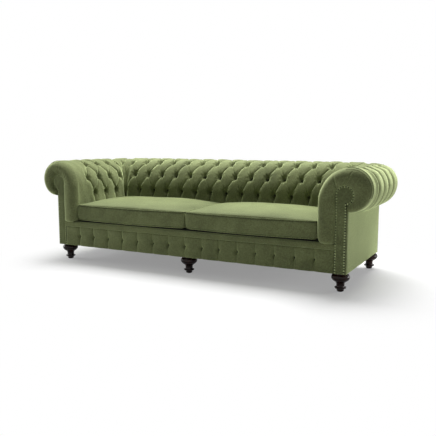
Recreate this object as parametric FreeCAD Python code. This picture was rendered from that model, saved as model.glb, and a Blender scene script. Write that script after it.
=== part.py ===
import FreeCAD, Part
import math
import os
from FreeCAD import Vector

# Three-seat rolled-arm sofa: deep diamond tufting on the inside back and arms, which wraps over a
# scroll roll of one height all round, scroll-shaped facings, a buttoned front border, two loose
# box cushions and six turned feet. Millimetres, +Z up, the sofa faces -Y, X = 0 is its middle.
# While it is modelled, y = 0 is the plane of the facings; each part is moved back to the middle
# of the overall depth when it is written.

os.makedirs("parts", exist_ok=True)

# Overall sizes
body_width = 2202.0            # outside arm to outside arm
body_depth = 797.0             # facings to outside back
foot_height = 116.0
roll_top = 743.0               # crown of the roll above the floor
roll_outer_radius = 130.0      # outer half of the scroll, over the padding
roll_overhang = 9.0            # line of the roll's top, outside the outside panels
arm_inner_radius = 191.0       # inner quarter of the arm's scroll, over the padding
back_low_radius = 300.0        # the back leans: a wide arc first
back_high_radius = 181.0       # then a tighter one up to the top
bend_split = 45.0              # degrees turned by the first of the two inner arcs
corner_turn = 12.0             # plan radius of the valley where back and arm meet

# Tufting
tuft_depth = 28.0              # from the crowns down to the buttons
pleat_rise = 11.0              # height of a fold half way between two buttons
channel_depth = 11.0           # folds between the channels over the roll
lobe_depth = 16.0              # folds between the lobes below the lowest buttons
padding_under = 12.0           # padding left under a button
row_a_height = 496.0           # lowest buttons
row_b_height = 607.0
row_c_height = 691.5
row_d_angle = 105.0            # turn of the scroll at the last buttons, 90 at the top
corner_channel = 87.4          # from the corner's axis to the first column of the back
back_columns = 13              # buttons in the lowest row between the corners
arm_pitch = 130.0
arm_columns = 3                # buttons in the lowest row of an arm
button_radius = 10.0
button_height = 11.0
button_sides = 7
button_seat = 2.1              # the underside's middle above the bottom of the tuft
border_button_radius = 7.5
border_button_height = 5.5
border_button_seat = 0.8
button_rings_share = ((0.2, 0.0), (1.0, 1.0), (0.6, 1.27))
seat_share = 0.1               # flat seat of a button along its column, in rows
lobe_row_share = -0.65         # where the lobes reach their full crown, in rows
channel_row_share = 3.4        # and the channels
shoulder_share = 0.66          # rise half way up to that crown
corner_swell_share = 0.6
corner_half_pitches = 4        # two channels turn each corner
front_places_share = (0.42, 1.0)    # plain padding before the scroll front
front_smooth_share = (0.75, 1.0)

# Scroll front: padded ring, facing and nailed edge
front_seam = 30.0              # padding of the scroll front lies in front of this plane
front_bulge = 30.0             # ring's crest in front of the facing
facing_thickness = 12.0
stem_width = 73.0
head_radius = 55.0
head_centre_in = 21.0          # head's centre, inwards of the outside arm
head_centre_height = 581.0

# Front border and the band above it
border_height = 141.0
band_height = 40.0
border_button_up = 71.0
border_end = 125.7             # last button to the facing
border_buttons_count = 15
border_tuft = 14.0
border_fold = 5.0
border_crown = 3.0
band_round = 10.0

# Frame of hardwood rails and plywood ribs
post_thickness = 22.0
rail_thickness = 30.0
rail_height = 145.0
rib_thickness = 18.0
former_thickness = 5.0
liner_thickness = 22.0
tack_rail_thickness = 18.0
tack_rail_height = 40.0
tack_rail_drop = 5.0
cross_rail_thickness = 25.0
cross_rail_height = 90.0
cross_rail_spacing = 700.0
panel_thickness = 4.0
cloth_thickness = 1.0
cloth_margin = 6.0
block_size = 100.0
block_height = 45.0
back_rib_spacing = 450.0
back_rib_count = 5
arm_rib_places_share = (0.30, 0.72)    # along the arm, from the post to the corner

# Seat deck
web_width = 50.0
web_thickness = 2.0
web_down = 4.0                 # webbing below the top of the rails
webs_crosswise = 15
webs_lengthwise = 6
deck_crown = 10.0
deck_slope = 30.0

# Loose seat cushions
cushion_side_gap = 7.0         # to the crown of the arms
cushion_middle_gap = 3.0
cushion_front_in = 2.0
cushion_back_gap = 8.0
cushion_edge = 124.0           # height of the boxing
cushion_crown = 42.0
cushion_crown_front = 9.0
cushion_crown_back = 20.0
cushion_draw_in = 7.0
cushion_side_bow = 5.0
cover_thickness = 2.0
cushion_stations_share = (0.0, 0.07, 0.32, 0.68, 0.93, 1.0)

# Zip in the back boxing of each cushion
zip_length = 660.0
zip_width = 24.0
zip_thickness = 1.0
slider_length = 22.0
slider_width = 10.0
slider_thickness = 3.0
zip_up_share = 0.5

# Turned feet
foot_in_side = 51.0            # foot's axis inside the outside arm
foot_in_front = 63.5
foot_in_back = 22.0
foot_top_radius = 42.0
foot_bulb_radius = 56.0
foot_neck_radius = 24.0
foot_collar_radius = 35.0
foot_end_radius = 21.5
# the turning's rings: width as a share of its own radius, place as a share of the foot's height
foot_end_share = ((1.05, 0.10), (1.25, 0.155))
foot_collar_share = ((0.95, 0.165), (1.0, 0.20), (0.93, 0.245))
foot_neck_share = ((1.12, 0.265), (1.0, 0.36), (1.12, 0.45))
foot_bulb_share = ((0.62, 0.54), (0.90, 0.645), (1.0, 0.745), (0.97, 0.84), (0.84, 0.915))
foot_top_share = ((1.0, 0.93),)
glide_radius = 15.0
glide_thickness = 3.0
bolt_radius = 4.0
bolt_in_foot = 40.0
bolt_in_frame = 34.0

# Facets of the round and soft forms
inner_arc_facets = 2           # each inner arc of the scroll
outer_arc_facets = 3           # each quarter of the scroll's outer half
channel_facets = 6             # round the outer half, where the channels run
span_facets = (2, 4, 4, 3)     # up the lobes, both rows of diamonds and the channels' start
fold_strips = 3                # strips from one column of buttons to the next half pitch
foot_sides = 12
bolt_sides = 8
glide_sides = 10
ring_facets = 6                # across the padded ring of the scroll front
scroll_front_facets = 5        # along each quarter of that ring
head_facets = 24               # round the head of a facing
crown_facets = 6               # across a cushion's crown
side_facets = 3                # up a cushion's boxing
border_facets = 2              # above and below a border button

# Clearances
gap = 0.3                      # between pieces that lie against each other
snug = 0.1                     # round the foot bolts
seam_reach = 0.01              # edges of one skin this close are sewn together
twist_limit = 1e-5             # four corners within this volume lie in one plane
halvings = 40                  # steps of the search for a height along the scroll

# Places that follow from the sizes above
half_width = body_width / 2
frame_low = foot_height + cloth_thickness
rail_top = frame_low + rail_height
border_top = frame_low + border_height
deck_level = border_top + band_height
liner_height = deck_level - rail_top
panel_inside = half_width - panel_thickness - gap
back_panel_inside = body_depth - panel_thickness - gap
roll_axis_height = roll_top - roll_outer_radius
roll_under = roll_axis_height - roll_outer_radius
pad_bottom = deck_level + gap
bend = math.radians(bend_split)
arm_face = half_width + roll_overhang - (arm_inner_radius - tuft_depth)
back_lean = ((back_low_radius - tuft_depth) * (1 - math.cos(bend))
             + (back_high_radius - tuft_depth) * math.cos(bend))
back_face = body_depth + roll_overhang - back_lean
corner_x = arm_face - corner_turn
corner_y = back_face - corner_turn
back_pitch = (corner_x - corner_channel) * 2 / back_columns
stem_inner = half_width - stem_width
border_pitch = (stem_inner - border_end) * 2 / (border_buttons_count - 1)
head_x = half_width - head_centre_in
post_back = front_seam + post_thickness
roll_back = body_depth + roll_overhang + roll_outer_radius
depth_middle = (roll_back - front_bulge) / 2
under_arm = arm_face + padding_under + gap
under_back = back_face + padding_under + gap
seat_level = deck_level + deck_crown + gap


def write(name, shape):
    """Moves the shape to the middle of the depth and writes it as one STEP file."""
    placed = shape.copy()
    placed.translate(Vector(0, -depth_middle, 0))
    placed.exportStep("parts/" + name + ".step")


def write_pair(name, shape):
    """Writes the right-hand piece and its mirror image on the left."""
    write(name + "_right", shape)
    write(name + "_left", mirrored(shape))


def mirrored(shape):
    return shape.mirror(Vector(0, 0, 0), Vector(1, 0, 0))


def block(x_low, x_high, y_low, y_high, z_low, z_high):
    return Part.makeBox(x_high - x_low, y_high - y_low, z_high - z_low,
                        Vector(x_low, y_low, z_low))


def facet(points):
    """Flat face inside the points."""
    return Part.Face(Part.makePolygon(points + [points[0]]))


def strip(line_a, line_b):
    """Flat facets between two lines of as many points each, twisted ones split in two."""
    faces = []
    for a, b, c, d in zip(line_a[:-1], line_a[1:], line_b[1:], line_b[:-1]):
        if abs((b - a).cross(c - a).dot(d - a)) < twist_limit:
            faces.append(facet([a, b, c, d]))
        elif a.distanceToPoint(c) < b.distanceToPoint(d):
            faces += [facet([a, b, c]), facet([a, c, d])]
        else:
            faces += [facet([a, b, d]), facet([b, c, d])]
    return faces


def solid_from(faces):
    """Sews faces that share their edges into one closed solid."""
    skin = Part.makeCompound(faces)
    skin.sewShape(seam_reach)
    solid = Part.makeSolid(skin.Shells[0])
    if solid.Volume < 0:
        solid.reverse()
    return solid


def loft(rings):
    """Solid through closed rings of as many points, flat at both ends."""
    faces = [facet(rings[0]), facet(rings[-1])]
    for low, high in zip(rings[:-1], rings[1:]):
        faces += strip(low + [low[0]], high + [high[0]])
    return solid_from(faces)


def ring_points(radius, sides, centre):
    """Corners of a regular ring in a level plane."""
    turn = 2 * math.pi / sides
    return [centre + Vector(radius * math.cos(k * turn), radius * math.sin(k * turn), 0)
            for k in range(sides)]


def rod(radius, sides, length, low):
    return loft([ring_points(radius, sides, low),
                 ring_points(radius, sides, low + Vector(0, 0, length))])


class Scroll:
    """Valley line of the roll seen from its end: d runs outwards from the inside face, z up.

    It rises straight from the deck, turns over in two inner arcs to the top, goes round the outer
    half circle to the underside and ends in a short straight tuck at the outside panel.
    """

    def __init__(self, low_radius, high_radius):
        self.radii = (low_radius - tuft_depth, high_radius - tuft_depth,
                      roll_outer_radius - tuft_depth)
        self.turns = (0.0, bend, math.pi / 2, math.pi * 3 / 2)
        crown_rise = low_radius * math.sin(bend) + high_radius * (1 - math.sin(bend))
        self.bend_height = roll_top - crown_rise
        self.straight = self.bend_height - pad_bottom
        first = (self.radii[0], self.bend_height)
        second = (first[0] - (self.radii[0] - self.radii[1]) * math.cos(bend),
                  first[1] + (self.radii[0] - self.radii[1]) * math.sin(bend))
        third = (second[0], second[1] + self.radii[1] - self.radii[2])
        self.centres = (first, second, third)
        self.ends = [self.straight]
        for k in range(3):
            length = self.radii[k] * (self.turns[k + 1] - self.turns[k])
            self.ends.append(self.ends[-1] + length)
        self.length = self.ends[-1]
        self.tuck_end = third[0] - roll_overhang + gap
        row_d = self.ends[2] + self.radii[2] * (math.radians(row_d_angle) - math.pi / 2)
        self.rows = [row_a_height - pad_bottom, self.at_height(row_b_height),
                     self.at_height(row_c_height), row_d]

    def turn_at(self, s):
        """Arc number and angle turned at the length s along the valley."""
        if s <= self.straight:
            return 0, 0.0
        for k in range(3):
            if s <= self.ends[k + 1] or k == 2:
                return k, self.turns[k] + (s - self.ends[k]) / self.radii[k]

    def place(self, s, height):
        """Point (d, z) at the length s, raised from the valley by the height."""
        if s <= self.straight:
            return -height, pad_bottom + s
        k, turn = self.turn_at(s)
        reach = self.radii[k] + height
        return (self.centres[k][0] - reach * math.cos(turn),
                self.centres[k][1] + reach * math.sin(turn))

    def tuck(self, height):
        return self.tuck_end, self.place(self.length, height)[1]

    def at_height(self, z):
        """Length along the inner arcs at which the valley reaches the height z."""
        low, high = self.straight, self.ends[2]
        for _ in range(halvings):
            middle = (low + high) / 2
            if self.place(middle, 0)[1] < z:
                low = middle
            else:
                high = middle
        return low

    def row(self, v):
        """Length at the row v: 0 lowest buttons, 1, 2 and 3 the rows above."""
        k = min(max(int(math.floor(v)), 0), 2)
        return self.rows[k] + (v - k) * (self.rows[k + 1] - self.rows[k])

    def marks(self, inner=inner_arc_facets, outer=outer_arc_facets):
        """Lengths at which the line is broken into facets, but for the tuck."""
        result = [0.0, self.straight]
        low = self.straight
        for k, count in ((0, inner), (1, inner), (2, 2 * outer)):
            high = self.ends[k + 1]
            result += [low + (high - low) * (n + 1) / count for n in range(count)]
            low = high
        return result

    def plain(self, height):
        """The whole line at one height, as (d, z) points."""
        return [self.place(s, height) for s in self.marks()] + [self.tuck(height)]


class Station:
    """One cross-section of a pad: where it stands, which way is outwards, and its folds.

    phase is 0 on a column of row A and C buttons, and 1 on a column of row B and D buttons.
    low and middle scale the lobes with the lower diamonds, and the upper diamonds. smooth goes
    from 0, tufted, to 1, plain padding.
    """

    def __init__(self, origin, outward, scroll, phase, low=1.0, middle=1.0, smooth=0.0):
        self.origin = origin
        self.outward = outward
        self.scroll = scroll
        self.phase = phase
        self.low = low
        self.middle = middle
        self.smooth = smooth

    def point(self, place):
        d, z = place
        x, y = self.origin
        return Vector(x + self.outward[0] * d, y + self.outward[1] * d, z)

    def raised(self, height, share):
        return (height * share) * (1 - self.smooth) + tuft_depth * self.smooth

    def tufted(self):
        """Points of the tufted surface from the deck over the roll to the tuck."""
        t = self.phase
        line = self.scroll
        folds = [t * (1 - seat_share), 2 - t - seat_share * (1 - 2 * t),
                 2 + t + seat_share * (1 - t)]
        fold = pleat_rise * 4 * t * (1 - t)
        lobe = tuft_depth - lobe_depth * (1 - t) ** 2
        lower = tuft_depth * (1 - t ** 2)
        upper = tuft_depth * (1 - (1 - t) ** 2)
        channel = tuft_depth - channel_depth * t ** 2
        points = [line.place(0.0, self.raised(lobe, self.low))]
        spans = [
            (lobe_row_share, folds[0], self.raised(lobe, self.low),
             self.raised((lobe + fold) * shoulder_share, self.low),
             self.raised(fold, self.low)),
            (folds[0], folds[1], self.raised(fold, self.low),
             self.raised(lower, self.low), self.raised(fold, self.low * self.middle)),
            (folds[1], folds[2], self.raised(fold, self.low * self.middle),
             self.raised(upper, self.middle), self.raised(fold, self.middle)),
            (folds[2], channel_row_share, self.raised(fold, self.middle),
             self.raised((channel + fold) * shoulder_share, 1.0), self.raised(channel, 1.0)),
        ]
        for (start, end, first, crown, last), count in zip(spans, span_facets):
            s_start, s_end = line.row(start), line.row(end)
            for n in range(count):
                u = n / count
                height = (first * (1 - u) * (1 - 2 * u) + 4 * crown * u * (1 - u)
                          + last * u * (2 * u - 1))
                points.append(line.place(s_start + (s_end - s_start) * u, height))
        height = self.raised(channel, 1.0)
        low = line.row(channel_row_share)
        for n in range(channel_facets + 1):
            share = n / channel_facets
            points.append(line.place(low + (line.length - low) * share, height))
        points.append(line.tuck(height))
        return [self.point(p) for p in points]

    def plain(self, height):
        return [self.point(p) for p in self.scroll.plain(height)]


def roll_shell(straights, outer_line, inner_height):
    """Closed skin along runs of stations, between an outer surface and a plain inner one.

    straights lists the runs of stations that stand in one straight line; neighbouring runs share
    their end station.
    """
    faces = []
    for stations in straights:
        outers = [outer_line(station) for station in stations]
        inner_first = stations[0].plain(inner_height)
        inner_last = stations[-1].plain(inner_height)
        for first, second in zip(outers[:-1], outers[1:]):
            faces += strip(first, second)
        faces += strip(inner_first, inner_last)
        for end in (0, -1):
            rim = [line[end] for line in outers]
            faces.append(facet(rim + [inner_last[end], inner_first[end]]))
    for station in (straights[0][0], straights[-1][-1]):
        outer = outer_line(station)
        inner = station.plain(inner_height)
        faces.append(facet(outer + inner[::-1]))
    return solid_from(faces)


arm_scroll = Scroll(arm_inner_radius, arm_inner_radius)
back_scroll = Scroll(back_low_radius, back_high_radius)


def corner_scroll(share):
    """Scroll between the arm's, at 0, and the back's, at 1."""
    low = arm_inner_radius + (back_low_radius - arm_inner_radius) * share
    high = arm_inner_radius + (back_high_radius - arm_inner_radius) * share
    return Scroll(low, high)


def corner_stations():
    """Stations that turn from the right arm to the back."""
    stations = []
    steps = corner_half_pitches * fold_strips
    for k in range(steps + 1):
        share = k / steps
        angle = math.pi / 2 * (1 - share)
        outward = (math.sin(angle), math.cos(angle))
        origin = (corner_x + corner_turn * outward[0], corner_y + corner_turn * outward[1])
        stations.append(Station(origin, outward, corner_scroll(share),
                                fold_phase(k / fold_strips), low=0.0, middle=corner_swell_share))
    return stations


def fold_phase(half_pitches):
    """0 on every even half pitch, 1 on every odd one."""
    return round(1 - abs(1 - half_pitches % 2), 6)


def back_stations():
    """Stations along the back from the right corner to the left one."""
    edge = back_columns * back_pitch / 2
    outward = (0.0, 1.0)
    right = []
    for k in range(fold_strips):
        share = k / fold_strips
        x = corner_x + (edge - corner_x) * share
        right.append(Station((x, back_face), outward, back_scroll, share, low=share))
    for k in range(back_columns * fold_strips):
        x = edge - k * back_pitch / 2 / fold_strips
        right.append(Station((x, back_face), outward, back_scroll,
                             fold_phase(1 + k / fold_strips)))
    middle = Station((0.0, back_face), outward, back_scroll, fold_phase(1 + back_columns))
    return right + [middle] + mirrored_stations(right)


def mirrored_stations(stations):
    result = []
    for s in reversed(stations):
        result.append(Station((-s.origin[0], s.origin[1]), (-s.outward[0], s.outward[1]),
                              s.scroll, s.phase, s.low, s.middle, s.smooth))
    return result


def pairs(stations):
    return [[a, b] for a, b in zip(stations[:-1], stations[1:])]


def back_runs(back):
    """The runs of stations round the back: right corner, the back itself, left corner."""
    corner = corner_stations()
    return pairs(corner) + [back] + pairs(mirrored_stations(corner))


def arm_stations():
    """Stations along the right arm from the corner to the scroll front."""
    outward = (1.0, 0.0)
    stations = []
    for k in range((2 * arm_columns + 1) * fold_strips + 1):
        low = min(k / fold_strips, 1.0)
        y = corner_y - k * arm_pitch / 2 / fold_strips
        stations.append(Station((arm_face, y), outward, arm_scroll,
                                fold_phase(k / fold_strips), low=low))
    last = stations[-1].origin[1]
    for share, smooth in zip(front_places_share, front_smooth_share):
        y = last + (front_seam - last) * share
        stations.append(Station((arm_face, y), outward, arm_scroll, 1.0, smooth=smooth))
    return stations


def tufted_line(station):
    return station.tufted()


def make_pads():
    back = back_runs(back_stations())
    write("inside_back_pad", roll_shell(back, tufted_line, -padding_under))
    write_pair("inside_arm_pad", roll_shell([arm_stations()], tufted_line, -padding_under))


def make_formers():
    """Bent boards under the padding: one round the back and both corners, one in each arm."""
    outer = -(padding_under + gap)
    inner = outer - former_thickness

    def skin(station):
        return station.plain(outer)

    ends = back_stations()
    write("back_roll_former", roll_shell(back_runs([ends[0], ends[-1]]), skin, inner))
    back = Station((arm_face, corner_y - gap), (1.0, 0.0), arm_scroll, 0.0)
    front = Station((arm_face, post_back), (1.0, 0.0), arm_scroll, 0.0)
    write_pair("arm_roll_former", roll_shell([[back, front]], skin, inner))


def button_shape(radius, height):
    """Covered button on the origin: tapered underside and low domed top."""
    rings = []
    for share, up_share in button_rings_share:
        rings.append(ring_points(radius * share, button_sides, Vector(0, 0, height * up_share)))
    return loft(rings)


def placed_button(shape, place, direction):
    piece = shape.copy()
    piece.Placement = FreeCAD.Placement(place, FreeCAD.Rotation(Vector(0, 0, 1), direction))
    return piece


def tuft_button(shape, origin, outward, scroll, s):
    """Button that sits in a tuft at the length s of the scroll."""
    station = Station(origin, outward, scroll, 0.0)
    low = station.point(scroll.place(s, button_seat))
    return placed_button(shape, low, station.point(scroll.place(s, tuft_depth)) - low)


def make_buttons():
    shape = button_shape(button_radius, button_height)
    columns = back_columns // 2
    buttons = []
    for row in range(4):
        odd = row % 2
        for k in range(-columns - odd, columns + 1):
            x = (k + odd / 2) * back_pitch
            buttons.append(tuft_button(shape, (x, back_face), (0.0, 1.0), back_scroll,
                                       back_scroll.rows[row]))
    write("back_buttons", Part.makeCompound(buttons))
    buttons = []
    for row in range(4):
        odd = row % 2
        for k in range(arm_columns + odd):
            y = corner_y - (k + 1 - odd / 2) * arm_pitch
            buttons.append(tuft_button(shape, (arm_face, y), (1.0, 0.0), arm_scroll,
                                       arm_scroll.rows[row]))
    write_pair("arm_buttons", Part.makeCompound(buttons))


def ring_profile():
    """Shares across the padded ring, from the facing to the arm, with the depth at each."""
    profile = []
    for n in range(ring_facets + 1):
        angle = math.pi * (n / ring_facets - 1 / 2)
        back = 0.0 if angle < 0 else front_seam
        share = (1 + math.sin(angle)) / 2
        profile.append((share, back - (back + front_bulge) * math.cos(angle)))
    return profile


def make_scroll_fronts():
    """Padded ring round each facing, rolled over to the front edge of the arm."""
    reach = (head_radius + gap) / math.cos(math.pi / scroll_front_facets / 4)
    start = -math.acos((head_x - stem_inner) / head_radius)
    finish = math.pi + math.acos((half_width + gap - head_x) / reach)
    sections = []
    for s in arm_scroll.marks(scroll_front_facets, scroll_front_facets):
        d, z_out = arm_scroll.place(s, tuft_depth)
        x_out = arm_face + d
        turn = arm_scroll.turn_at(s)[1]
        angle = start + (finish - start) * turn / arm_scroll.turns[-1]
        x_in, z_in = stem_inner - gap, z_out
        if turn > 0:
            x_in = head_x - reach * math.cos(angle)
            z_in = head_centre_height + reach * math.sin(angle)
        section = [Vector(x_in + (x_out - x_in) * share, y, z_in + (z_out - z_in) * share)
                   for share, y in ring_profile()]
        sections.append(section + [Vector(x_in, front_seam, z_in)])
    write_pair("arm_front_pad", loft(sections))


def facing_outline(outer_side, y):
    """Stem with a round head, as a flat face at the given depth."""
    start = -math.acos((outer_side - head_x) / head_radius)
    finish = math.pi + math.acos((head_x - stem_inner) / head_radius)
    points = [Vector(stem_inner, y, frame_low), Vector(outer_side, y, frame_low)]
    for k in range(head_facets + 1):
        angle = start + (finish - start) * k / head_facets
        points.append(Vector(head_x + head_radius * math.cos(angle), y,
                             head_centre_height + head_radius * math.sin(angle)))
    return facet(points)


def make_facings():
    panel = facing_outline(half_width, 0.0).extrude(Vector(0, facing_thickness, 0))
    write_pair("facing_panel", panel)


def rib_face(station, cover, low_z, rail_side, outer_side, foot_z):
    """Flat board inside the scroll, which steps down to foot_z outside rail_side."""
    outline = [station.point(p) for p in station.scroll.plain(-cover)][1:-1]
    low = station.point((cover, low_z))
    end_z = outline[-1].z
    corners = [station.point((outer_side, end_z)), station.point((outer_side, foot_z)),
               station.point((rail_side, foot_z))]
    if abs(foot_z - low_z) > snug:
        corners.append(station.point((rail_side, low_z)))
    return facet([low] + outline + corners)


def make_posts():
    """Scroll-shaped front posts; the packer on their face carries the facing."""
    station = Station((arm_face, front_seam), (1.0, 0.0), arm_scroll, 0.0)
    board = rib_face(station, padding_under + gap, frame_low, under_arm - arm_face + snug,
                     panel_inside - arm_face, frame_low)
    board = board.extrude(Vector(0, post_thickness, 0))
    packer = facing_outline(panel_inside, facing_thickness)
    packer = packer.extrude(Vector(0, front_seam - facing_thickness, 0))
    write_pair("arm_front_post", board.fuse(packer).removeSplitter())
    corner = block(panel_inside - rail_thickness, panel_inside,
                   back_panel_inside - rail_thickness, back_panel_inside,
                   rail_top, roll_under - tack_rail_drop)
    write_pair("back_corner_post", corner)


def make_ribs():
    cover = padding_under + 2 * gap + former_thickness
    low_z = rail_top + liner_height
    rail_side = panel_inside - rail_thickness - arm_face
    outer_side = panel_inside - tack_rail_thickness - gap - arm_face
    ribs = []
    for share in arm_rib_places_share:
        y = post_back + (corner_y - post_back) * share
        station = Station((arm_face, y), (1.0, 0.0), arm_scroll, 0.0)
        face = rib_face(station, cover, low_z, rail_side, outer_side, rail_top)
        ribs.append(face.extrude(Vector(0, rib_thickness, 0)))
    write_pair("arm_ribs", Part.makeCompound(ribs))
    rail_side = back_panel_inside - rail_thickness - back_face
    outer_side = back_panel_inside - tack_rail_thickness - gap - back_face
    ribs = []
    for k in range(back_rib_count):
        x = (k - (back_rib_count - 1) / 2) * back_rib_spacing - rib_thickness / 2
        station = Station((x, back_face), (0.0, 1.0), back_scroll, 0.0)
        face = rib_face(station, cover, low_z, rail_side, outer_side, rail_top)
        ribs.append(face.extrude(Vector(rib_thickness, 0, 0)))
    write("back_ribs", Part.makeCompound(ribs))


def make_rails(bolts):
    side = panel_inside
    inner_side = side - rail_thickness
    front = block(-under_arm, under_arm, front_seam, post_back, frame_low, rail_top)
    write("front_rail", front)
    back = block(-inner_side, inner_side, back_panel_inside - rail_thickness, back_panel_inside,
                 frame_low, rail_top)
    write("back_rail", back.cut(bolts))
    write_pair("side_rail", block(inner_side, side, post_back, back_panel_inside,
                                  frame_low, rail_top))
    back_inner = back_panel_inside - rail_thickness
    cross_low = rail_top - web_down - 2 * web_thickness - cross_rail_height
    crosses = []
    for x in (-cross_rail_spacing / 2, cross_rail_spacing / 2):
        crosses.append(block(x - cross_rail_thickness / 2, x + cross_rail_thickness / 2,
                             post_back, back_inner, cross_low, cross_low + cross_rail_height))
    write("seat_cross_rails", Part.makeCompound(crosses))
    liner_top = rail_top + liner_height
    write_pair("arm_liner_rail", block(under_arm, under_arm + liner_thickness, post_back,
                                       under_back + liner_thickness, rail_top, liner_top))
    write("back_liner_rail", block(-under_arm, under_arm, under_back,
                                   under_back + liner_thickness, rail_top, liner_top))
    tack_top = roll_under - tack_rail_drop
    tack_low = tack_top - tack_rail_height
    write_pair("arm_tack_rail", block(side - tack_rail_thickness, side, post_back,
                                      back_inner, tack_low, tack_top))
    write("back_tack_rail", block(-inner_side, inner_side, back_panel_inside - tack_rail_thickness,
                                  back_panel_inside, tack_low, tack_top))


def foot_places():
    x = half_width - foot_in_side
    front = [(place, foot_in_front) for place in (-x, 0.0, x)]
    back = [(place, body_depth - foot_in_back) for place in (-x, 0.0, x)]
    return front, back


def bolt_shapes(radius):
    front, back = foot_places()
    low = frame_low - bolt_in_foot
    return [rod(radius, bolt_sides, bolt_in_foot + bolt_in_frame, Vector(x, y, low))
            for x, y in front + back]


def make_blocks(holes):
    """Blocks behind the front rail that the front feet are bolted into."""
    inner_side = panel_inside - rail_thickness
    y_low, y_high = post_back, post_back + block_size
    top = frame_low + block_height
    blocks = [block(-block_size / 2, block_size / 2, y_low, y_high, frame_low, top),
              block(inner_side - block_size, inner_side, y_low, y_high, frame_low, top),
              block(-inner_side, block_size - inner_side, y_low, y_high, frame_low, top)]
    write("foot_blocks", Part.makeCompound([b.cut(holes) for b in blocks]))


def turned_foot():
    """Turned foot on its glide: end, collar, neck, bulb and shoulder."""
    rings = [ring_points(foot_end_radius, foot_sides, Vector(0, 0, glide_thickness))]
    for radius, shares in ((foot_end_radius, foot_end_share),
                           (foot_collar_radius, foot_collar_share),
                           (foot_neck_radius, foot_neck_share),
                           (foot_bulb_radius, foot_bulb_share),
                           (foot_top_radius, foot_top_share)):
        for wide_share, up_share in shares:
            place = Vector(0, 0, foot_height * up_share)
            rings.append(ring_points(radius * wide_share, foot_sides, place))
    rings.append(ring_points(foot_top_radius, foot_sides, Vector(0, 0, frame_low)))
    return loft(rings)


def make_feet(holes):
    foot = turned_foot()
    hole_by_place = list(holes)
    front, back = foot_places()
    glides = []
    for name, places in (("front_feet", front), ("back_feet", back)):
        feet = []
        for x, y in places:
            piece = foot.copy()
            piece.translate(Vector(x, y, 0))
            feet.append(piece.cut(hole_by_place.pop(0)))
            glides.append(rod(glide_radius, glide_sides, glide_thickness, Vector(x, y, 0)))
        write(name, Part.makeCompound(feet))
    write("foot_glides", Part.makeCompound(glides))


def make_dust_cover():
    inset = cloth_margin
    cloth = block(inset - half_width, half_width - inset, front_seam + inset,
                  body_depth - inset, foot_height, frame_low)
    front, back = foot_places()
    holes = [rod(foot_top_radius + gap, foot_sides, 2 * foot_height, Vector(x, y, 0))
             for x, y in front + back]
    write("dust_cover", cloth.cut(Part.makeCompound(holes)))


def make_webbing():
    top = rail_top - web_down
    x_reach = panel_inside - rail_thickness
    y_low, y_high = post_back, back_panel_inside - rail_thickness
    straps = []
    for k in range(webs_crosswise):
        x = (k - (webs_crosswise - 1) / 2) * 2 * x_reach / webs_crosswise
        straps.append(block(x - web_width / 2, x + web_width / 2, y_low, y_high,
                            top - web_thickness, top))
    write("seat_webbing_crosswise", Part.makeCompound(straps))
    straps = []
    for k in range(webs_lengthwise):
        y = y_low + (y_high - y_low) * (k + 1 / 2) / webs_lengthwise
        straps.append(block(-x_reach, x_reach, y - web_width / 2, y + web_width / 2,
                            top - 2 * web_thickness, top - web_thickness))
    write("seat_webbing_lengthwise", Part.makeCompound(straps))


def make_deck():
    """Deck pad with a flat raised middle that the cushions rest on."""
    x_edge = under_arm - gap
    y_low, y_high = post_back + gap, under_back - gap
    rings = []
    rim = padding_under + tuft_depth + 2 * gap
    for inset, z in ((0.0, rail_top - web_down), (0.0, deck_level), (rim, deck_level),
                     (rim + deck_slope, deck_level + deck_crown)):
        rings.append([Vector(inset - x_edge, y_low + inset / 2, z),
                      Vector(x_edge - inset, y_low + inset / 2, z),
                      Vector(x_edge - inset, y_high - inset, z),
                      Vector(inset - x_edge, y_high - inset, z)])
    write("deck_pad", loft(rings))


def make_band():
    """Plain band over the border, with a rounded top edge and a lip over the front rail."""
    x = stem_inner - gap
    low, high = border_top + gap, deck_level
    profile = Part.makeBox(2 * x, front_seam - gap, high - low, Vector(-x, 0, low))
    edges = [e for e in profile.Edges
             if abs(e.CenterOfMass.y) < snug and abs(e.CenterOfMass.z - high) < snug]
    front = profile.makeFillet(band_round, edges)
    lip = block(gap - under_arm, under_arm - gap, front_seam - gap, post_back,
                rail_top, deck_level)
    write("front_band", front.fuse(lip).removeSplitter())


def border_columns():
    """Places along the border with the fold at each: 0 at a button, 1 half way between two."""
    reach = stem_inner - gap
    middle = (border_buttons_count - 1) / 2
    places = [(-reach, 1.0), (-(reach + middle * border_pitch) / 2, 1.0)]
    for k in range(border_buttons_count):
        places.append(((k - middle) * border_pitch, 0.0))
        if k < 2 * middle:
            places.append(((k - middle + 1 / 2) * border_pitch, 1.0))
    return places + [((reach + middle * border_pitch) / 2, 1.0), (reach, 1.0)]


def border_line(x, t, low_z, button_z, high_z):
    """Points up the border's face at one place."""
    edge_y = border_fold * (1 - t)
    deep_y = border_tuft * (1 - t) - border_crown * t
    line = []
    for n in range(2 * border_facets + 1):
        u = n / border_facets - 1
        z = button_z + u * (high_z - button_z if u > 0 else button_z - low_z)
        y = deep_y + (edge_y - deep_y) * math.sin(abs(u) * math.pi / 2)
        line.append(Vector(x, y, z))
    return line


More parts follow.
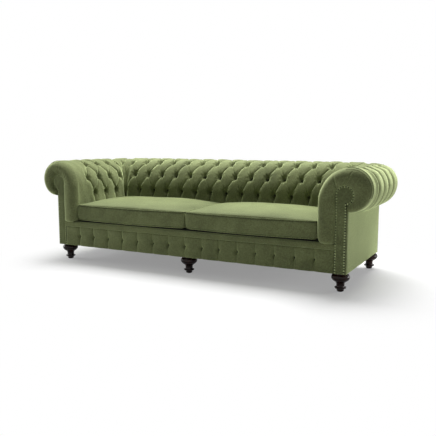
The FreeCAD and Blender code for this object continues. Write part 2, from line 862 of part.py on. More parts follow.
def make_border():
    """Front border with one row of buttons and a straight fold above and below each."""
    back = front_seam - gap
    low_z, button_z, high_z = frame_low, frame_low + border_button_up, border_top
    rows = [border_line(x, t, low_z, button_z, high_z) for x, t in border_columns()]
    left, right = rows[0][0].x, rows[-1][0].x
    faces = []
    for first, second in zip(rows[:-1], rows[1:]):
        faces += strip(first, second)
    for end, z in ((0, low_z), (-1, high_z)):
        rim = [row[end] for row in rows]
        faces.append(facet(rim + [Vector(right, back, z), Vector(left, back, z)]))
    for row, x in ((rows[0], left), (rows[-1], right)):
        faces.append(facet(row + [Vector(x, back, high_z), Vector(x, back, low_z)]))
    faces.append(facet([Vector(left, back, low_z), Vector(right, back, low_z),
                        Vector(right, back, high_z), Vector(left, back, high_z)]))
    write("front_border_pad", solid_from(faces))
    shape = button_shape(border_button_radius, border_button_height)
    buttons = []
    for x, t in border_columns():
        if t == 0:
            place = Vector(x, border_tuft - border_button_seat, button_z)
            buttons.append(placed_button(shape, place, Vector(0, -1, 0)))
    write("border_buttons", Part.makeCompound(buttons))


def make_outside_panels():
    top = roll_under - gap
    side = block(half_width - panel_thickness, half_width, facing_thickness + gap,
                 body_depth - panel_thickness - gap, frame_low, top)
    write_pair("outside_arm", side)
    back = block(-half_width, half_width, body_depth - panel_thickness, body_depth,
                 frame_low, top)
    write("outside_back", back)


def cushion_ring(left, right, y, z_low, z_edge, rise):
    """Outline of a cushion at one place: crowned top, bowed sides and flat underside."""
    ring = []
    for n in range(crown_facets + 1):
        u = n / crown_facets
        ring.append(Vector(left + (right - left) * u, y, z_edge + rise * 4 * u * (1 - u)))
    bows = [(n / side_facets) for n in range(1, side_facets)]
    for u in bows:
        ring.append(Vector(right + cushion_side_bow * 4 * u * (1 - u), y,
                           z_edge + (z_low - z_edge) * u))
    ring += [Vector(right, y, z_low), Vector(left, y, z_low)]
    for u in reversed(bows):
        ring.append(Vector(left - cushion_side_bow * 4 * u * (1 - u), y,
                           z_edge + (z_low - z_edge) * u))
    return ring


def cushion_solid(x_low, x_high, inset):
    """Box cushion with a crowned top and sides drawn in between the corners."""
    y_low = cushion_front_in + inset
    y_high = back_face - tuft_depth - cushion_back_gap - inset
    z_low = seat_level + inset
    z_edge = seat_level + cushion_edge - inset
    rings = []
    for share in cushion_stations_share:
        swell = math.sin(math.pi * share)
        edge_rise = cushion_crown_front * (1 - share) + cushion_crown_back * share
        rise = edge_rise + (cushion_crown - edge_rise) * swell
        draw = inset + cushion_draw_in * swell
        y = y_low + (y_high - y_low) * share
        rings.append(cushion_ring(x_low + draw, x_high - draw, y, z_low, z_edge, rise))
    return loft(rings)


def make_cushions():
    x_low = cushion_middle_gap / 2 + cushion_side_bow
    x_high = arm_face - tuft_depth - cushion_side_gap - cushion_side_bow
    outer = cushion_solid(x_low, x_high, 0.0)
    hollow = cushion_solid(x_low, x_high, cover_thickness)
    write_pair("cushion_cover", outer.cut(hollow))
    write_pair("cushion_core", cushion_solid(x_low, x_high, cover_thickness + gap))
    y = back_face - tuft_depth - cushion_back_gap
    z = seat_level + cushion_edge * zip_up_share
    x = (x_low + x_high) / 2
    write_pair("zip_tape", block(x - zip_length / 2, x + zip_length / 2, y, y + zip_thickness,
                                 z - zip_width / 2, z + zip_width / 2))
    y_slider = y + zip_thickness + gap
    write_pair("zip_slider", block(x - zip_length / 2, x - zip_length / 2 + slider_length,
                                   y_slider, y_slider + slider_thickness,
                                   z - slider_width / 2, z + slider_width / 2))


hole_list = bolt_shapes(bolt_radius + snug)
hole_group = Part.makeCompound(hole_list)
make_pads()
make_formers()
make_buttons()
make_scroll_fronts()
make_facings()
make_posts()
make_ribs()
make_rails(hole_group)
make_blocks(hole_group)
make_feet(hole_list)
write("foot_bolts", Part.makeCompound(bolt_shapes(bolt_radius)))
make_dust_cover()
make_webbing()
make_deck()
make_band()
make_border()
make_outside_panels()
make_cushions()
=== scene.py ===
import math
import bmesh
import bpy
import numpy as np
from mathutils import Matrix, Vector
from mathutils.bvhtree import BVHTree


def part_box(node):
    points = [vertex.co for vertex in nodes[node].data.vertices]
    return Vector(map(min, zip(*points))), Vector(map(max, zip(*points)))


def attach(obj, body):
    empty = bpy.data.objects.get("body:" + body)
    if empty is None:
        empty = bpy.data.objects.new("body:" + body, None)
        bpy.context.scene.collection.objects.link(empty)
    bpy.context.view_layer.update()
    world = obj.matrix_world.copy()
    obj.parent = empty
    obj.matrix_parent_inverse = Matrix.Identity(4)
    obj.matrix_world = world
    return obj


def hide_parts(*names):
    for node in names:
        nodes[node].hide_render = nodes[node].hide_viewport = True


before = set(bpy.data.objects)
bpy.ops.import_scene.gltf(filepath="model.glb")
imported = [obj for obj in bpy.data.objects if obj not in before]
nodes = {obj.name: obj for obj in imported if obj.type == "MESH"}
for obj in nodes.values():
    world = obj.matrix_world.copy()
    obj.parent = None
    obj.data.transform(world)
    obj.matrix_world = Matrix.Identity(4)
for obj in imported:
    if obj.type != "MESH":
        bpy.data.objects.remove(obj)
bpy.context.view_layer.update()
scene = bpy.context.scene
SIDES = (("right", 1), ("left", -1))

# Sizes in metres. y is measured from the plane of the facings, then moved back by MIDDLE.
MIDDLE = 0.453
GAP = 0.0003  # between pieces that lie against each other
HALF = 1.101  # middle to outside arm
DEPTH = 0.797  # facings to outside back
FOOT = 0.116
LOW = 0.117  # underside of the upholstery
TOP = 0.743
BORDER_TOP = 0.258
BAND_TOP = 0.298
BAND_BACK = 0.0518  # the band reaches over the front rail
RAIL_FRONT, RAIL_TOP = 0.030, 0.262
PAD_LOW = BAND_TOP + GAP
# Scrolls, over the padding
ROLL = 0.130  # outer half
OVERHANG = 0.009  # the roll's top line, outside the outside panels
ARM_R = 0.191  # inner quarter of an arm
BACK_LOW_R, BACK_HIGH_R = 0.300, 0.181  # the back leans: a wide arc, then a tighter one
BEND = math.pi / 4  # turn of the first of the two inner arcs
UNDER_ROLL = TOP - 2 * ROLL - GAP
PANEL = 0.004  # thickness of the outside panels
# Tufts: crowns over the buttons, and the bottoms of the tufts in arm and back
TUFT = 0.028
UNDER = 0.012  # padding below the bottoms
ARM_FACE = HALF + OVERHANG - (ARM_R - TUFT)
BACK_FACE = DEPTH + OVERHANG - (BACK_LOW_R - TUFT) + (BACK_LOW_R - BACK_HIGH_R) * math.cos(BEND)
TURN = 0.012  # plan radius of the valley where back and arm meet
CORNER_X, CORNER_Y = ARM_FACE - TURN, BACK_FACE - TURN
COLUMNS = 13
CORNER_CHANNEL = 0.0874  # from the corner's axis to the back's first column
PITCH = 2 * (CORNER_X - CORNER_CHANNEL) / COLUMNS
ARM_PITCH = 0.130
CLOTH_PITCH, CLOTH_ROW = 0.065, 0.105  # half a pitch and a row, along the cloth
ROW_A, ROW_B, ROW_C = 0.496, 0.607, 0.6915  # heights of the buttons
ROW_D = math.radians(105.0)  # turn of the scroll at the last ones
PIT = 0.0170  # radius of the pit round a button
WELL = 0.011  # how far the pit goes below the tufts
LEAN = 0.30  # how far the pillows hang over the buttons below
LOBE = 0.032  # crown of the channels over the roll
SLIM = 0.20  # share by which the arms' rolls are flatter outside
# Scroll fronts and facings
SEAM = 0.030
BULGE = 0.030
STEM_IN = 1.028
HEAD_X, HEAD_Z, HEAD_R = 1.080, 0.581, 0.055
GATHERS_LEFT = 26
FACING_Y, FACING_REAR = 0.0022, 0.0118  # front edge and back of the facing
FACING_DOME, FACING_SOFT = 0.0075, 0.030  # how far it is padded, and how wide its edge is
NAIL_SPACING = 0.0162
NAIL_IN, NAIL_IN_STEM = 0.0038, 0.0150  # from the facing's edge, round the head and below it
# Half width of the near-black strip under the nails, which is painted shade
NAIL_SHADE_HALF = 0.0055
# Border and its buttons
PROUD = 0.006  # crown of the border before the facings' plane
BUTTON_Z = 0.188
BORDER_SIDE = 7  # buttons on each side of the middle one
BORDER_END = 0.1257  # last button to the facing
BORDER_PITCH = (STEM_IN - BORDER_END) / BORDER_SIDE
# Cushions: underside, boxing, and the space between middle, arm, front and back
SEAT = 0.3083
BOXING = 0.117
BOX_TOP = SEAT + BOXING
CROWN, EDGE_FRONT, EDGE_BACK = 0.053, 0.003, 0.012  # rise of the top, middle and both edges
SIDE_BOW = 0.006
X_LOW, X_HIGH = 0.0045, ARM_FACE - TUFT - 0.008
Y_LOW, Y_HIGH = 0.002, BACK_FACE - TUFT - 0.008
ZIP_TEETH = 165
# Axes of the feet
FEET_X = (-1.050, 0.0, 1.050)
FEET_FRONT, FEET_BACK = 0.0635, 0.775


# Formulas
def ease(x):
    x = np.clip(x, 0, 1)
    return x * x * (3 - 2 * x)


def rounded(t, edge):
    """Share of full height across a soft edge."""
    return np.sqrt(np.maximum(0, 1 - (1 - np.minimum(1, t / edge)) ** 2))


def spread(count):
    """Numbers from 0 to 1, closer together at both ends."""
    return (1 - np.cos(np.linspace(0, math.pi, count))) / 2


def scatter(seed):
    """Number from 0 to 1 that depends on the seed alone."""
    x = np.sin(np.asarray(seed, float) * 127.1 + 311.7) * 43758.5453
    return x - np.floor(x)


# Meshes
def make_mesh(name, verts, faces, material, smooth=True):
    verts = np.asarray(verts, float) - (0, MIDDLE, 0)
    me = bpy.data.meshes.new(name)
    me.from_pydata(verts.tolist(), [], [tuple(int(i) for i in f) for f in faces])
    me.validate()
    me.update()
    ob = bpy.data.objects.new(name, me)
    scene.collection.objects.link(ob)
    me.materials.append(material)
    me.polygons.foreach_set("use_smooth", [smooth] * len(me.polygons))
    return ob


def solid_mesh(name, verts, faces, material, degrees=None, smooth=True):
    """Closed mesh, faces turned outwards, with sharp edges over the angle."""
    ob = make_mesh(name, verts, faces, material, smooth)
    bm = bmesh.new()
    bm.from_mesh(ob.data)
    bmesh.ops.recalc_face_normals(bm, faces=bm.faces)
    bm.to_mesh(ob.data)
    bm.free()
    if degrees:
        ob.data.set_sharp_from_angle(angle=math.radians(degrees))
    return ob


def grid_faces(n, m, close_u=False, close_v=False, turn=None, start=0):
    """Faces of a grid of n by m points; turn says which quads are split the other way."""
    faces = []
    for i in range(n if close_u else n - 1):
        i2 = (i + 1) % n
        for j in range(m if close_v else m - 1):
            j2 = (j + 1) % m
            a, b, c, d = (start + i * m + j, start + i2 * m + j, start + i2 * m + j2,
                          start + i * m + j2)
            if turn is None:
                faces.append((a, b, c, d))
            elif turn[i, j]:
                faces += [(a, b, d), (b, c, d)]
            else:
                faces += [(a, b, c), (a, c, d)]
    return faces


def ring_faces(n, m, turn=None, start=0):
    """Faces through n rings of m points, with both ends closed."""
    first, last = range(start, start + m), range(start + (n - 1) * m, start + n * m)
    return grid_faces(n, m, close_v=True, turn=turn, start=start) \
        + [tuple(first), tuple(reversed(last))]


def ring_mesh(name, rings, material, degrees=None, sign=1, turn=None):
    """Closed mesh through the rings; sign -1 puts it on the left."""
    grid = np.array(rings, float) * (sign, 1, 1)
    return solid_mesh(name, grid.reshape(-1, 3), ring_faces(*grid.shape[:2], turn), material,
                      degrees)


def rim_of(n, m):
    """Numbers of the points along the rim of a grid, once round."""
    return [j for j in range(m)] + [i * m + m - 1 for i in range(1, n)] \
        + [(n - 1) * m + j for j in reversed(range(m - 1))] \
        + [i * m for i in reversed(range(1, n - 1))]


def tube(name, path, radius, material, sides=8, closed=True, up=(0.0, 0.0, 1.0)):
    """Cord along the points of the path, round or with two ends."""
    path, up = np.array(path), np.array(up)
    along = np.roll(path, -1, 0) - np.roll(path, 1, 0) if closed else np.gradient(path, axis=0)
    across = np.cross(along / np.linalg.norm(along, axis=1)[:, None], up)
    across /= np.linalg.norm(across, axis=1)[:, None]
    turns = np.linspace(0, 2 * math.pi, sides, endpoint=False)[None, :, None]
    rings = path[:, None] + radius * (np.cos(turns) * across[:, None] + np.sin(turns) * up)
    if not closed:
        return ring_mesh(name, rings, material)
    faces = grid_faces(len(path), sides, close_u=True, close_v=True)
    return solid_mesh(name, rings.reshape(-1, 3), faces, material)


def dome(radius, height, sides=20):
    """Domed button on the origin, pointing up z."""
    profile = [(0.30, -0.75), (0.92, -0.30), (1.0, 0.0), (0.93, 0.42), (0.72, 0.74),
               (0.38, 0.94)]
    points = [(radius * share * math.cos(a), radius * share * math.sin(a), height * up)
              for share, up in profile
              for a in np.linspace(0, 2 * math.pi, sides, endpoint=False)]
    top, last = len(points), (len(profile) - 1) * sides
    faces = grid_faces(len(profile), sides, close_v=True)
    for k in range(sides):
        faces += [(last + k, last + (k + 1) % sides, top), ((k + 1) % sides, k, top + 1)]
    return np.array(points + [(0, 0, height), (0, 0, -0.75 * height)]), faces


def many(name, shape, places, material):
    """One mesh with the shape at each (place, direction)."""
    base, base_faces = shape
    verts, faces = [], []
    for n, (place, direction) in enumerate(places):
        turn = np.array(Vector(direction).to_track_quat("Z", "Y").to_matrix())
        verts.append(base @ turn.T + np.array(place))
        faces += [tuple(n * len(base) + i for i in f) for f in base_faces]
    return solid_mesh(name, np.concatenate(verts), faces, material)


def blocks(name, boxes, material, bevel=0.0):
    """Boxes, each given as x0, x1, y0, y1, z0, z1."""
    sides = [(0, 1, 3, 2), (4, 6, 7, 5), (0, 4, 5, 1), (2, 3, 7, 6), (0, 2, 6, 4), (1, 5, 7, 3)]
    verts, faces = [], []
    for box in boxes:
        faces += [tuple(len(verts) + i for i in f) for f in sides]
        verts += [(x, y, z) for x in box[:2] for y in box[2:4] for z in box[4:]]
    ob = solid_mesh(name, verts, faces, material, smooth=False)
    if bevel:
        mod = ob.modifiers.new("bevel", "BEVEL")
        mod.width = bevel
        mod.segments = 2
        mod.limit_method = "ANGLE"
        bpy.context.view_layer.objects.active = ob
        bpy.ops.object.modifier_apply(modifier="bevel")
    return ob


def put(ob, slot, *replaced, body="root", pad=None):
    """Piece on its body, in place of CAD nodes; pad is how full a padded piece is, and it is not
    used.
    """
    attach(ob, body)
    if replaced:
        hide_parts(*replaced)


def upholster(ob, *replaced, body="root", pad=None):
    put(ob, "olive_velvet", *replaced, body=body, pad=pad)


# Materials
def fill(nt, node, inputs):
    """Sets the node's inputs to values, or links them to sockets."""
    for key, value in inputs.items():
        if isinstance(value, bpy.types.NodeSocket):
            nt.links.new(value, node.inputs[key])
        else:
            node.inputs[key].default_value = value


def add(nt, kind, inputs=None, **settings):
    node = nt.nodes.new("ShaderNode" + kind)
    for key, value in settings.items():
        setattr(node, key, value)
    fill(nt, node, inputs or {})
    return node


def new_material(name):
    m = bpy.data.materials.new(name)
    m.use_nodes = True
    nt = m.node_tree
    return m, nt, nt.nodes["Principled BSDF"], add(nt, "TexCoord").outputs["Object"]


def noise(nt, coords, scale, detail, roughness=0.5, distortion=0.0):
    return add(nt, "TexNoise", {"Vector": coords, "Scale": scale, "Detail": detail,
                                "Roughness": roughness, "Distortion": distortion}).outputs["Fac"]


def ramp(nt, source, *stops):
    """Colours by the source's value; a plain number stands for a grey."""
    node = add(nt, "ValToRGB", {0: source})
    while len(node.color_ramp.elements) < len(stops):
        node.color_ramp.elements.new(0.5)
    for element, (place, colour) in zip(node.color_ramp.elements, stops):
        element.position = place
        element.color = (*(colour if isinstance(colour, tuple) else (colour,) * 3), 1)
    return node.outputs[0]


def multiply(nt, share, a, b):
    return add(nt, "Mix", {0: share, 6: a, 7: b}, data_type="RGBA",
               blend_type="MULTIPLY").outputs[2]


def math_node(nt, kind, a, b):
    return add(nt, "Math", {0: a, 1: b}, operation=kind).outputs[0]


def bump(nt, shader, *layers):
    """Layers of (height, strength, distance) over each other."""
    normal = {}
    for height, strength, distance in layers:
        node = add(nt, "Bump", {"Height": height, "Strength": strength, "Distance": distance,
                                **normal})
        normal = {"Normal": node.outputs["Normal"]}
    fill(nt, shader, normal)


def dimmed(colour, share):
    return tuple(share * c for c in colour)


def velvet(name, deep, mid, light, sheen=1.0, levels=()):
    """Cut pile: dark to look straight into, pale at a slant, with brushed patches.

    The levels paint light and shade onto it by height."""
    m, nt, shader, coords = new_material(name)
    brushed = noise(nt, coords, 7.0, 4.0, 0.6, 0.6)
    pile = noise(nt, coords, 130.0, 4.0, 0.75)
    soft = noise(nt, coords, 34.0, 3.0, 0.55)
    patches = ramp(nt, brushed, (0.30, deep), (0.52, mid), (0.75, light))
    colour = multiply(nt, 0.60, patches, ramp(nt, pile, (0.33, 0.45), (0.67, 1.50)))
    # Painted light and shade: the colour is scaled by the height of each point
    if levels:
        height = add(nt, "SeparateXYZ", {0: coords}).outputs["Z"]
        colour = multiply(nt, 1.0, colour, ramp(nt, height, *levels))
    fill(nt, shader, {"Base Color": colour, "Roughness": 0.92, "Specular IOR Level": 0.12,
                      "Sheen Weight": sheen, "Sheen Roughness": 0.45,
                      "Sheen Tint": (0.84, 0.97, 0.50, 1)})
    bump(nt, shader, (soft, 0.25, 0.004), (pile, 0.55, 0.0016))
    return m


def cloth(name, colour, scale=700.0):
    """Plain weave."""
    m, nt, shader, coords = new_material(name)
    threads = [add(nt, "TexWave", {"Vector": coords, "Scale": scale, "Distortion": 1.5},
                   bands_direction=way).outputs["Fac"] for way in "XY"]
    weave = math_node(nt, "MAXIMUM", *threads)
    fill(nt, shader, {"Base Color": ramp(nt, weave, (0.2, dimmed(colour, 0.6)), (0.9, colour)),
                      "Roughness": 0.9})
    bump(nt, shader, (weave, 0.4, 0.0005))
    return m


def wood(name, dark, light, scale, rough, stretch, coat=0.0, specular=0.5):
    """Grain along the axis that is stretched least."""
    m, nt, shader, coords = new_material(name)
    along = add(nt, "Mapping", {"Vector": coords, "Scale": stretch}).outputs[0]
    grain = noise(nt, along, scale, 6.0, 0.65, 1.2)
    fine = noise(nt, along, scale * 14, 3.0)
    tones = ramp(nt, grain, (0.32, dark), (0.68, light))
    colour = multiply(nt, 0.6, tones, ramp(nt, fine, (0.35, 0.75), (0.6, 1.0)))
    fill(nt, shader, {"Base Color": colour, "Roughness": rough, "Coat Weight": coat,
                      "Coat Roughness": 0.06, "Specular IOR Level": specular})
    bump(nt, shader, (fine, 0.12, 0.0004))
    return m


def metal(name, dark, light, rough):
    m, nt, shader, coords = new_material(name)
    wear = noise(nt, coords, 60.0, 4.0)
    polish = add(nt, "MapRange", {"Value": wear, "To Min": rough, "To Max": rough + 0.2})
    fill(nt, shader, {"Base Color": ramp(nt, wear, (0.35, dark), (0.65, light)),
                      "Metallic": 1.0, "Roughness": polish.outputs[0]})
    bump(nt, shader, (wear, 0.1, 0.0003))
    return m


def plastic(name, colour, rough):
    m, nt, shader, coords = new_material(name)
    grain = noise(nt, coords, 500.0, 2.0)
    fill(nt, shader, {"Base Color": ramp(nt, grain, (0.3, dimmed(colour, 0.8)), (0.7, colour)),
                      "Roughness": rough})
    bump(nt, shader, (grain, 0.15, 0.0002))
    return m


# Copies of one velvet at slightly different brightness: the tufted one is lighter than the panels
# to brighten the back and arms, which is painted light
VELVET = velvet("velvet_tufted", (0.108, 0.124, 0.056), (0.132, 0.151, 0.065),
                (0.163, 0.187, 0.083))
# Painted light and shade on the cushion tops: darker just above the front edge, lighter towards the
# crest
VELVET_SEAT_PAINTED_LIGHT = velvet("velvet_cushion_painted_light", (0.104, 0.121, 0.053), (0.135, 0.155, 0.067),
                     (0.167, 0.194, 0.085),
                     levels=[(0.4235, 1.0), (0.4265, 0.48), (0.445, 0.78), (0.462, 1.12),
                             (0.476, 1.30)])
VELVET_FLAT = velvet("velvet_panel", (0.104, 0.121, 0.053), (0.125, 0.145, 0.064),
                     (0.149, 0.172, 0.075))
# Painted shade: the same velvet made near black, with little sheen, for buttons in their pits and
# lines in the seams
VELVET_PAINTED_SHADE = velvet("velvet_painted_shade", (0.030, 0.034, 0.016), (0.046, 0.052, 0.024),
                     (0.062, 0.070, 0.032), sheen=0.3)
NAIL = metal("nail_bronze", (0.150, 0.176, 0.082), (0.310, 0.360, 0.175), 0.38)
# Painted shade: near-black strip under the nails, standing in for their shadows and the groove
# beside them
NAIL_SHADE = cloth("nail_shade_strip", (0.018, 0.021, 0.010))
FOOT_WOOD = wood("foot_gloss", (0.009, 0.0025, 0.0015), (0.024, 0.007, 0.004), 9.0, 0.14,
                 (1.0, 1.0, 0.25), coat=0.12, specular=0.12)
FRAME_WOOD = wood("frame_wood", (0.36, 0.22, 0.11), (0.60, 0.42, 0.24), 5.0, 0.6,
                  (0.4, 1.0, 1.0))
PLY = wood("ply_wood", (0.50, 0.34, 0.19), (0.72, 0.55, 0.35), 4.0, 0.7, (1.0, 0.3, 1.0))
JUTE = cloth("jute", (0.42, 0.31, 0.17), 320.0)
LINING = cloth("lining", (0.020, 0.020, 0.020), 900.0)
DECK = cloth("deck_lining", (0.030, 0.037, 0.016), 600.0)
ZIP_CLOTH = cloth("zip_tape", (0.075, 0.090, 0.034), 900.0)
ZIP_METAL = metal("zip_brass", (0.30, 0.22, 0.09), (0.58, 0.46, 0.22), 0.25)
STEEL = metal("bolt_steel", (0.42, 0.42, 0.43), (0.62, 0.62, 0.63), 0.3)
GLIDE = plastic("glide_plastic", (0.03, 0.03, 0.03), 0.5)


# Camera: fitted to the photograph
camera = bpy.data.cameras.new("camera")
camera.lens = 48.35
camera.sensor_width = 36.0
camera_object = bpy.data.objects.new("camera", camera)
camera_object.location = (2.001, -3.2973 - MIDDLE, 0.910)
camera_object.rotation_euler = (math.pi / 2 - 0.1359, 0.0, 0.4868)
scene.collection.objects.link(camera_object)
scene.camera = camera_object


# Tufting
class Scroll:
    """Bottom of the tufts seen from the roll's end: d outwards from the inside face, z up."""

    def __init__(self, low_radius, high_radius, slim=0.0):
        self.slim = slim
        self.radii = (low_radius - TUFT, high_radius - TUFT, ROLL - TUFT)
        self.turns = (0.0, BEND, math.pi / 2, math.pi * 1.5)
        height = TOP - low_radius * math.sin(BEND) - high_radius * (1 - math.sin(BEND))
        self.straight = height - PAD_LOW
        first = (self.radii[0], height)
        second = (first[0] - (self.radii[0] - self.radii[1]) * math.cos(BEND),
                  first[1] + (self.radii[0] - self.radii[1]) * math.sin(BEND))
        third = (second[0], second[1] + self.radii[1] - self.radii[2])
        self.centres = (first, second, third)
        self.ends = [self.straight]
        for k in range(3):
            self.ends.append(self.ends[-1]
                             + self.radii[k] * (self.turns[k + 1] - self.turns[k]))
        self.length = self.ends[-1]
        self.tuck_end = third[0] - OVERHANG + GAP
        row_d = self.ends[2] + self.radii[2] * (ROW_D - math.pi / 2)
        self.rows = [ROW_A - PAD_LOW, self.at_height(ROW_B), self.at_height(ROW_C), row_d]

    def turned(self, s):
        """Angle turned at the length s."""
        angle = 0.0
        for end, turn, radius in zip(self.ends, self.turns, self.radii):
            if s > end:
                angle = turn + (s - end) / radius
        return angle

    def place(self, s, h):
        """Point at the length s and the height h over the bottom of the tufts."""
        s = np.asarray(s, float)
        h = np.broadcast_to(np.asarray(h, float), s.shape)
        d, z = -h.copy(), PAD_LOW + s
        for k in range(3):
            m = s > self.ends[k]
            turn = self.turns[k] + (s[m] - self.ends[k]) / self.radii[k]
            # flatter where the roll faces outwards
            outer = ease((turn - 1.2) / 1.4) * (1 - ease((turn - 3.4) / 1.1))
            reach = self.radii[k] + h[m] * (1 - self.slim * outer)
            d[m] = self.centres[k][0] - reach * np.cos(turn)
            z[m] = self.centres[k][1] + reach * np.sin(turn)
        return d, z

    def at_height(self, z):
        low, high = self.straight, self.ends[2]
        for _ in range(40):
            middle = (low + high) / 2
            if self.place(np.array([middle]), 0.0)[1][0] < z:
                low = middle
            else:
                high = middle
        return low

    def lines(self, below, between, above):
        """Lengths s and rows v of the grid's points up the scroll."""
        a, b, c, d = self.rows
        s = np.concatenate([np.linspace(0, a, below + 1)[:-1],
                            *(np.linspace(low, high, between, endpoint=False)
                              for low, high in ((a, b), (b, c), (c, d))),
                            np.linspace(d, self.length, above + 1)])
        v = np.concatenate([(s[:below] - a) / (b - a), np.arange(3 * between) / between,
                            3 + (s[below + 3 * between:] - d) / (d - c)])
        return s, v


ARM_SCROLL = Scroll(ARM_R, ARM_R, SLIM)
BACK_SCROLL = Scroll(BACK_LOW_R, BACK_HIGH_R)


def fold_ways(p, v):
    """How far a point is from the two folds of its diamond, 0 to 1."""
    v = np.clip(v, 0, 3)
    return np.abs(np.sin(np.pi * (p + v) / 2)), np.abs(np.sin(np.pi * (p - v) / 2))


def plain_share(p, v):
    """Share of plain cloth in front of the arm's first buttons, which zigzag over the rows."""
    first = 6 + np.abs((np.clip(v, 0, 3) + 1) % 2 - 1)
    return ease((p - first - 0.22) / 0.75) * 0.985


def tuft_height(p, v, low, middle, arm, strong):
    """Height over the bottom of the tufts. p counts half pitches, v counts rows.

    The low and middle rows keep these shares of their height, arm is 1 in an arm and 0 in the
    back, and strong gives the depths of the two folds."""
    vc = np.clip(v, 0, 3)
    u1, u2 = fold_ways(p, v)
    seed = np.floor((p + vc) / 2 + 1e-6) * 7.31 + np.floor((p - vc) / 2 + 1e-6) * 3.77
    plump = 0.96 + 0.08 * scatter(seed)
    round1, round2 = (1 - (1 - u1) ** 2) ** 0.45, (1 - (1 - u2) ** 2) ** 0.45
    below, above = ease(-v / 0.7), ease((v - 3) / 0.45)
    # The nearest button, and the way from it along the cloth
    row = np.clip(np.round(v), 0, 3)
    odd = np.mod(row, 2)
    column = odd + 2 * np.round((p - odd) / 2)
    dw, ds = (p - column) * CLOTH_PITCH, (v - row) * CLOTH_ROW
    away, angle = np.hypot(dw, ds), np.arctan2(ds, dw)
    # wide under the button, so that the pillow below is blunt, and tight over it
    pit = 1 - np.exp(-(away / (PIT * (1 - 0.24 * np.sin(angle)))) ** 2.4)
    tufted = (1 - below) * (1 - above)
    top = ease((v - 2.1) / 0.8)
    deep1, deep2 = ((share + (0.42 - share) * top) * tufted + 0.27 * below + 0.37 * above
                    for share in strong)
    # A fold is deepest where it meets a button, and shallow halfway
    deep1 = deep1 * (1 - 0.42 * tufted * ease(u2 / 0.8))
    deep2 = deep2 * (1 - 0.42 * tufted * ease(u1 / 0.8))
    # and the weaker fold starts as a short crease over each button
    crease = 0.30 * tufted * np.exp(-(away / 0.040) ** 2) * ease(ds / 0.010)
    deep1, deep2 = np.maximum(deep1, crease), np.maximum(deep2, crease)
    # The first pillow of an arm is drawn in on both sides
    first = 0.45 * arm * ease((p - 5.6) / 0.4) * ease((v - 0.9) / 0.2) * ease((2.1 - v) / 0.2)
    deep1 = np.maximum(deep1, first)
    smooth = arm * plain_share(p, v)
    crown = (TUFT + WELL) * plump * (1 - above) + (LOBE + WELL) * above
    h = crown * (1 - deep1 * (1 - round1)) * (1 - deep2 * (1 - round2)) * pit - WELL * tufted ** 0.5
    # The back is thinner behind the cushions, where their zips run
    h = h * (1 - 0.2 * (1 - arm) * ease((-v - 0.6) / 0.35))
    scale = np.where(v < 1.6, low + (middle - low) * ease((v - 0.5) / 1.1),
                     middle + (1 - middle) * ease((v - 2.2) / 0.9))
    # Short creases that run out from each button
    creases = 0.0036 * np.cos(9 * angle + 6.3 * scatter(row * 5.1 + column)) \
        * np.exp(-((away - 0.025) / 0.012) ** 2)
    h = (h + creases * (1 - smooth)) * scale
    return h * (1 - smooth) + TUFT * smooth


def tuft_surface(columns, between, strong):
    """Grid of points over the columns, each (p, x, y, outward, scroll, low, middle, arm)."""
    grid, ps, vs = [], [], []
    for p, x, y, (ox, oy), scroll, low, middle, arm in columns:
        s, v = scroll.lines(between, between, int(between * 1.7))
        h = tuft_height(p, v, low, middle, arm, strong)
        run = p * CLOTH_PITCH
        h = h + 0.0009 * np.sin(run * 61 + s * 23 + 1.1) * np.sin(s * 47 - run * 19) * (h / TUFT)
        lift = LEAN * h * ease((v + 0.6) / 0.6) * ease((3.5 - v) / 0.5) * low
        lift *= 1 - arm * plain_share(p, v)
        d, z = scroll.place(np.clip(s + lift, 0, scroll.length), h)
        grid.append(np.stack([x + ox * d, y + oy * d, z], -1))
        ps.append(np.full_like(v, p))
        vs.append(v)
    return np.array(grid), np.array(ps), np.array(vs)


def shell(name, columns, between, strong, sign=1):
    """Closed padding: the tufted surface, the tuck under the roll and the plain inside."""
    grid, p, v = tuft_surface(columns, between, strong)
    inside = []
    for _, x, y, (ox, oy), scroll, *_rest in columns:
        d, z = scroll.place(np.linspace(scroll.length, 0, 26), -UNDER)
        d = np.concatenate([[scroll.tuck_end] * 2, d])
        z = np.concatenate([scroll.place(np.array([scroll.length]), TUFT)[1], z[:1], z])
        inside.append(np.stack([x + ox * d, y + oy * d, z], -1))
    loop = np.concatenate([grid, inside], 1)
    m = grid.shape[1]
    u1, u2 = fold_ways(p, v)
    turn = np.zeros(loop.shape[:2], bool)
    turn[:, :m] = u1 < u2
    turn[:-1, :m - 1] = (u1[:-1, :-1] + u1[1:, 1:] + u1[:-1, 1:] + u1[1:, :-1]
                         < u2[:-1, :-1] + u2[1:, 1:] + u2[:-1, 1:] + u2[1:, :-1])
    return ring_mesh(name, loop, VELVET, 62, sign, turn)


def corner_column(k, p):
    """Column in the right-hand corner; k goes from 0 at the arm to 1 at the back."""
    angle = math.pi / 2 * (1 - k)
    outward = (math.sin(angle), math.cos(angle))
    scroll = Scroll(ARM_R + (BACK_LOW_R - ARM_R) * k, ARM_R + (BACK_HIGH_R - ARM_R) * k,
                    SLIM * (1 - k))
    return (p, CORNER_X + TURN * outward[0], CORNER_Y + TURN * outward[1], outward, scroll,
            0.0, 0.62, 0.0)


def back_column(p, x, low=1.0):
    return (p, x, BACK_FACE, (0.0, 1.0), BACK_SCROLL, low, 0.62 + 0.38 * low, 0.0)


def back_columns(steps):
    """From the right-hand corner over the middle to the left-hand one."""
    edge = COLUMNS * PITCH / 2
    columns = [corner_column(n / (4 * steps), n / steps) for n in range(4 * steps)]
    for k in np.arange(steps) / steps:
        columns.append(back_column(4 + k, CORNER_X + (edge - CORNER_X) * k, ease(k / 0.6)))
    for n in range(COLUMNS * steps):
        columns.append(back_column(5 + n / steps, edge - n * PITCH / 2 / steps))
    middle = 5 + COLUMNS
    left = [(2 * middle - c[0], -c[1], c[2], (-c[3][0], c[3][1]), *c[4:])
            for c in reversed(columns)]
    return columns + [back_column(middle, 0.0)] + left


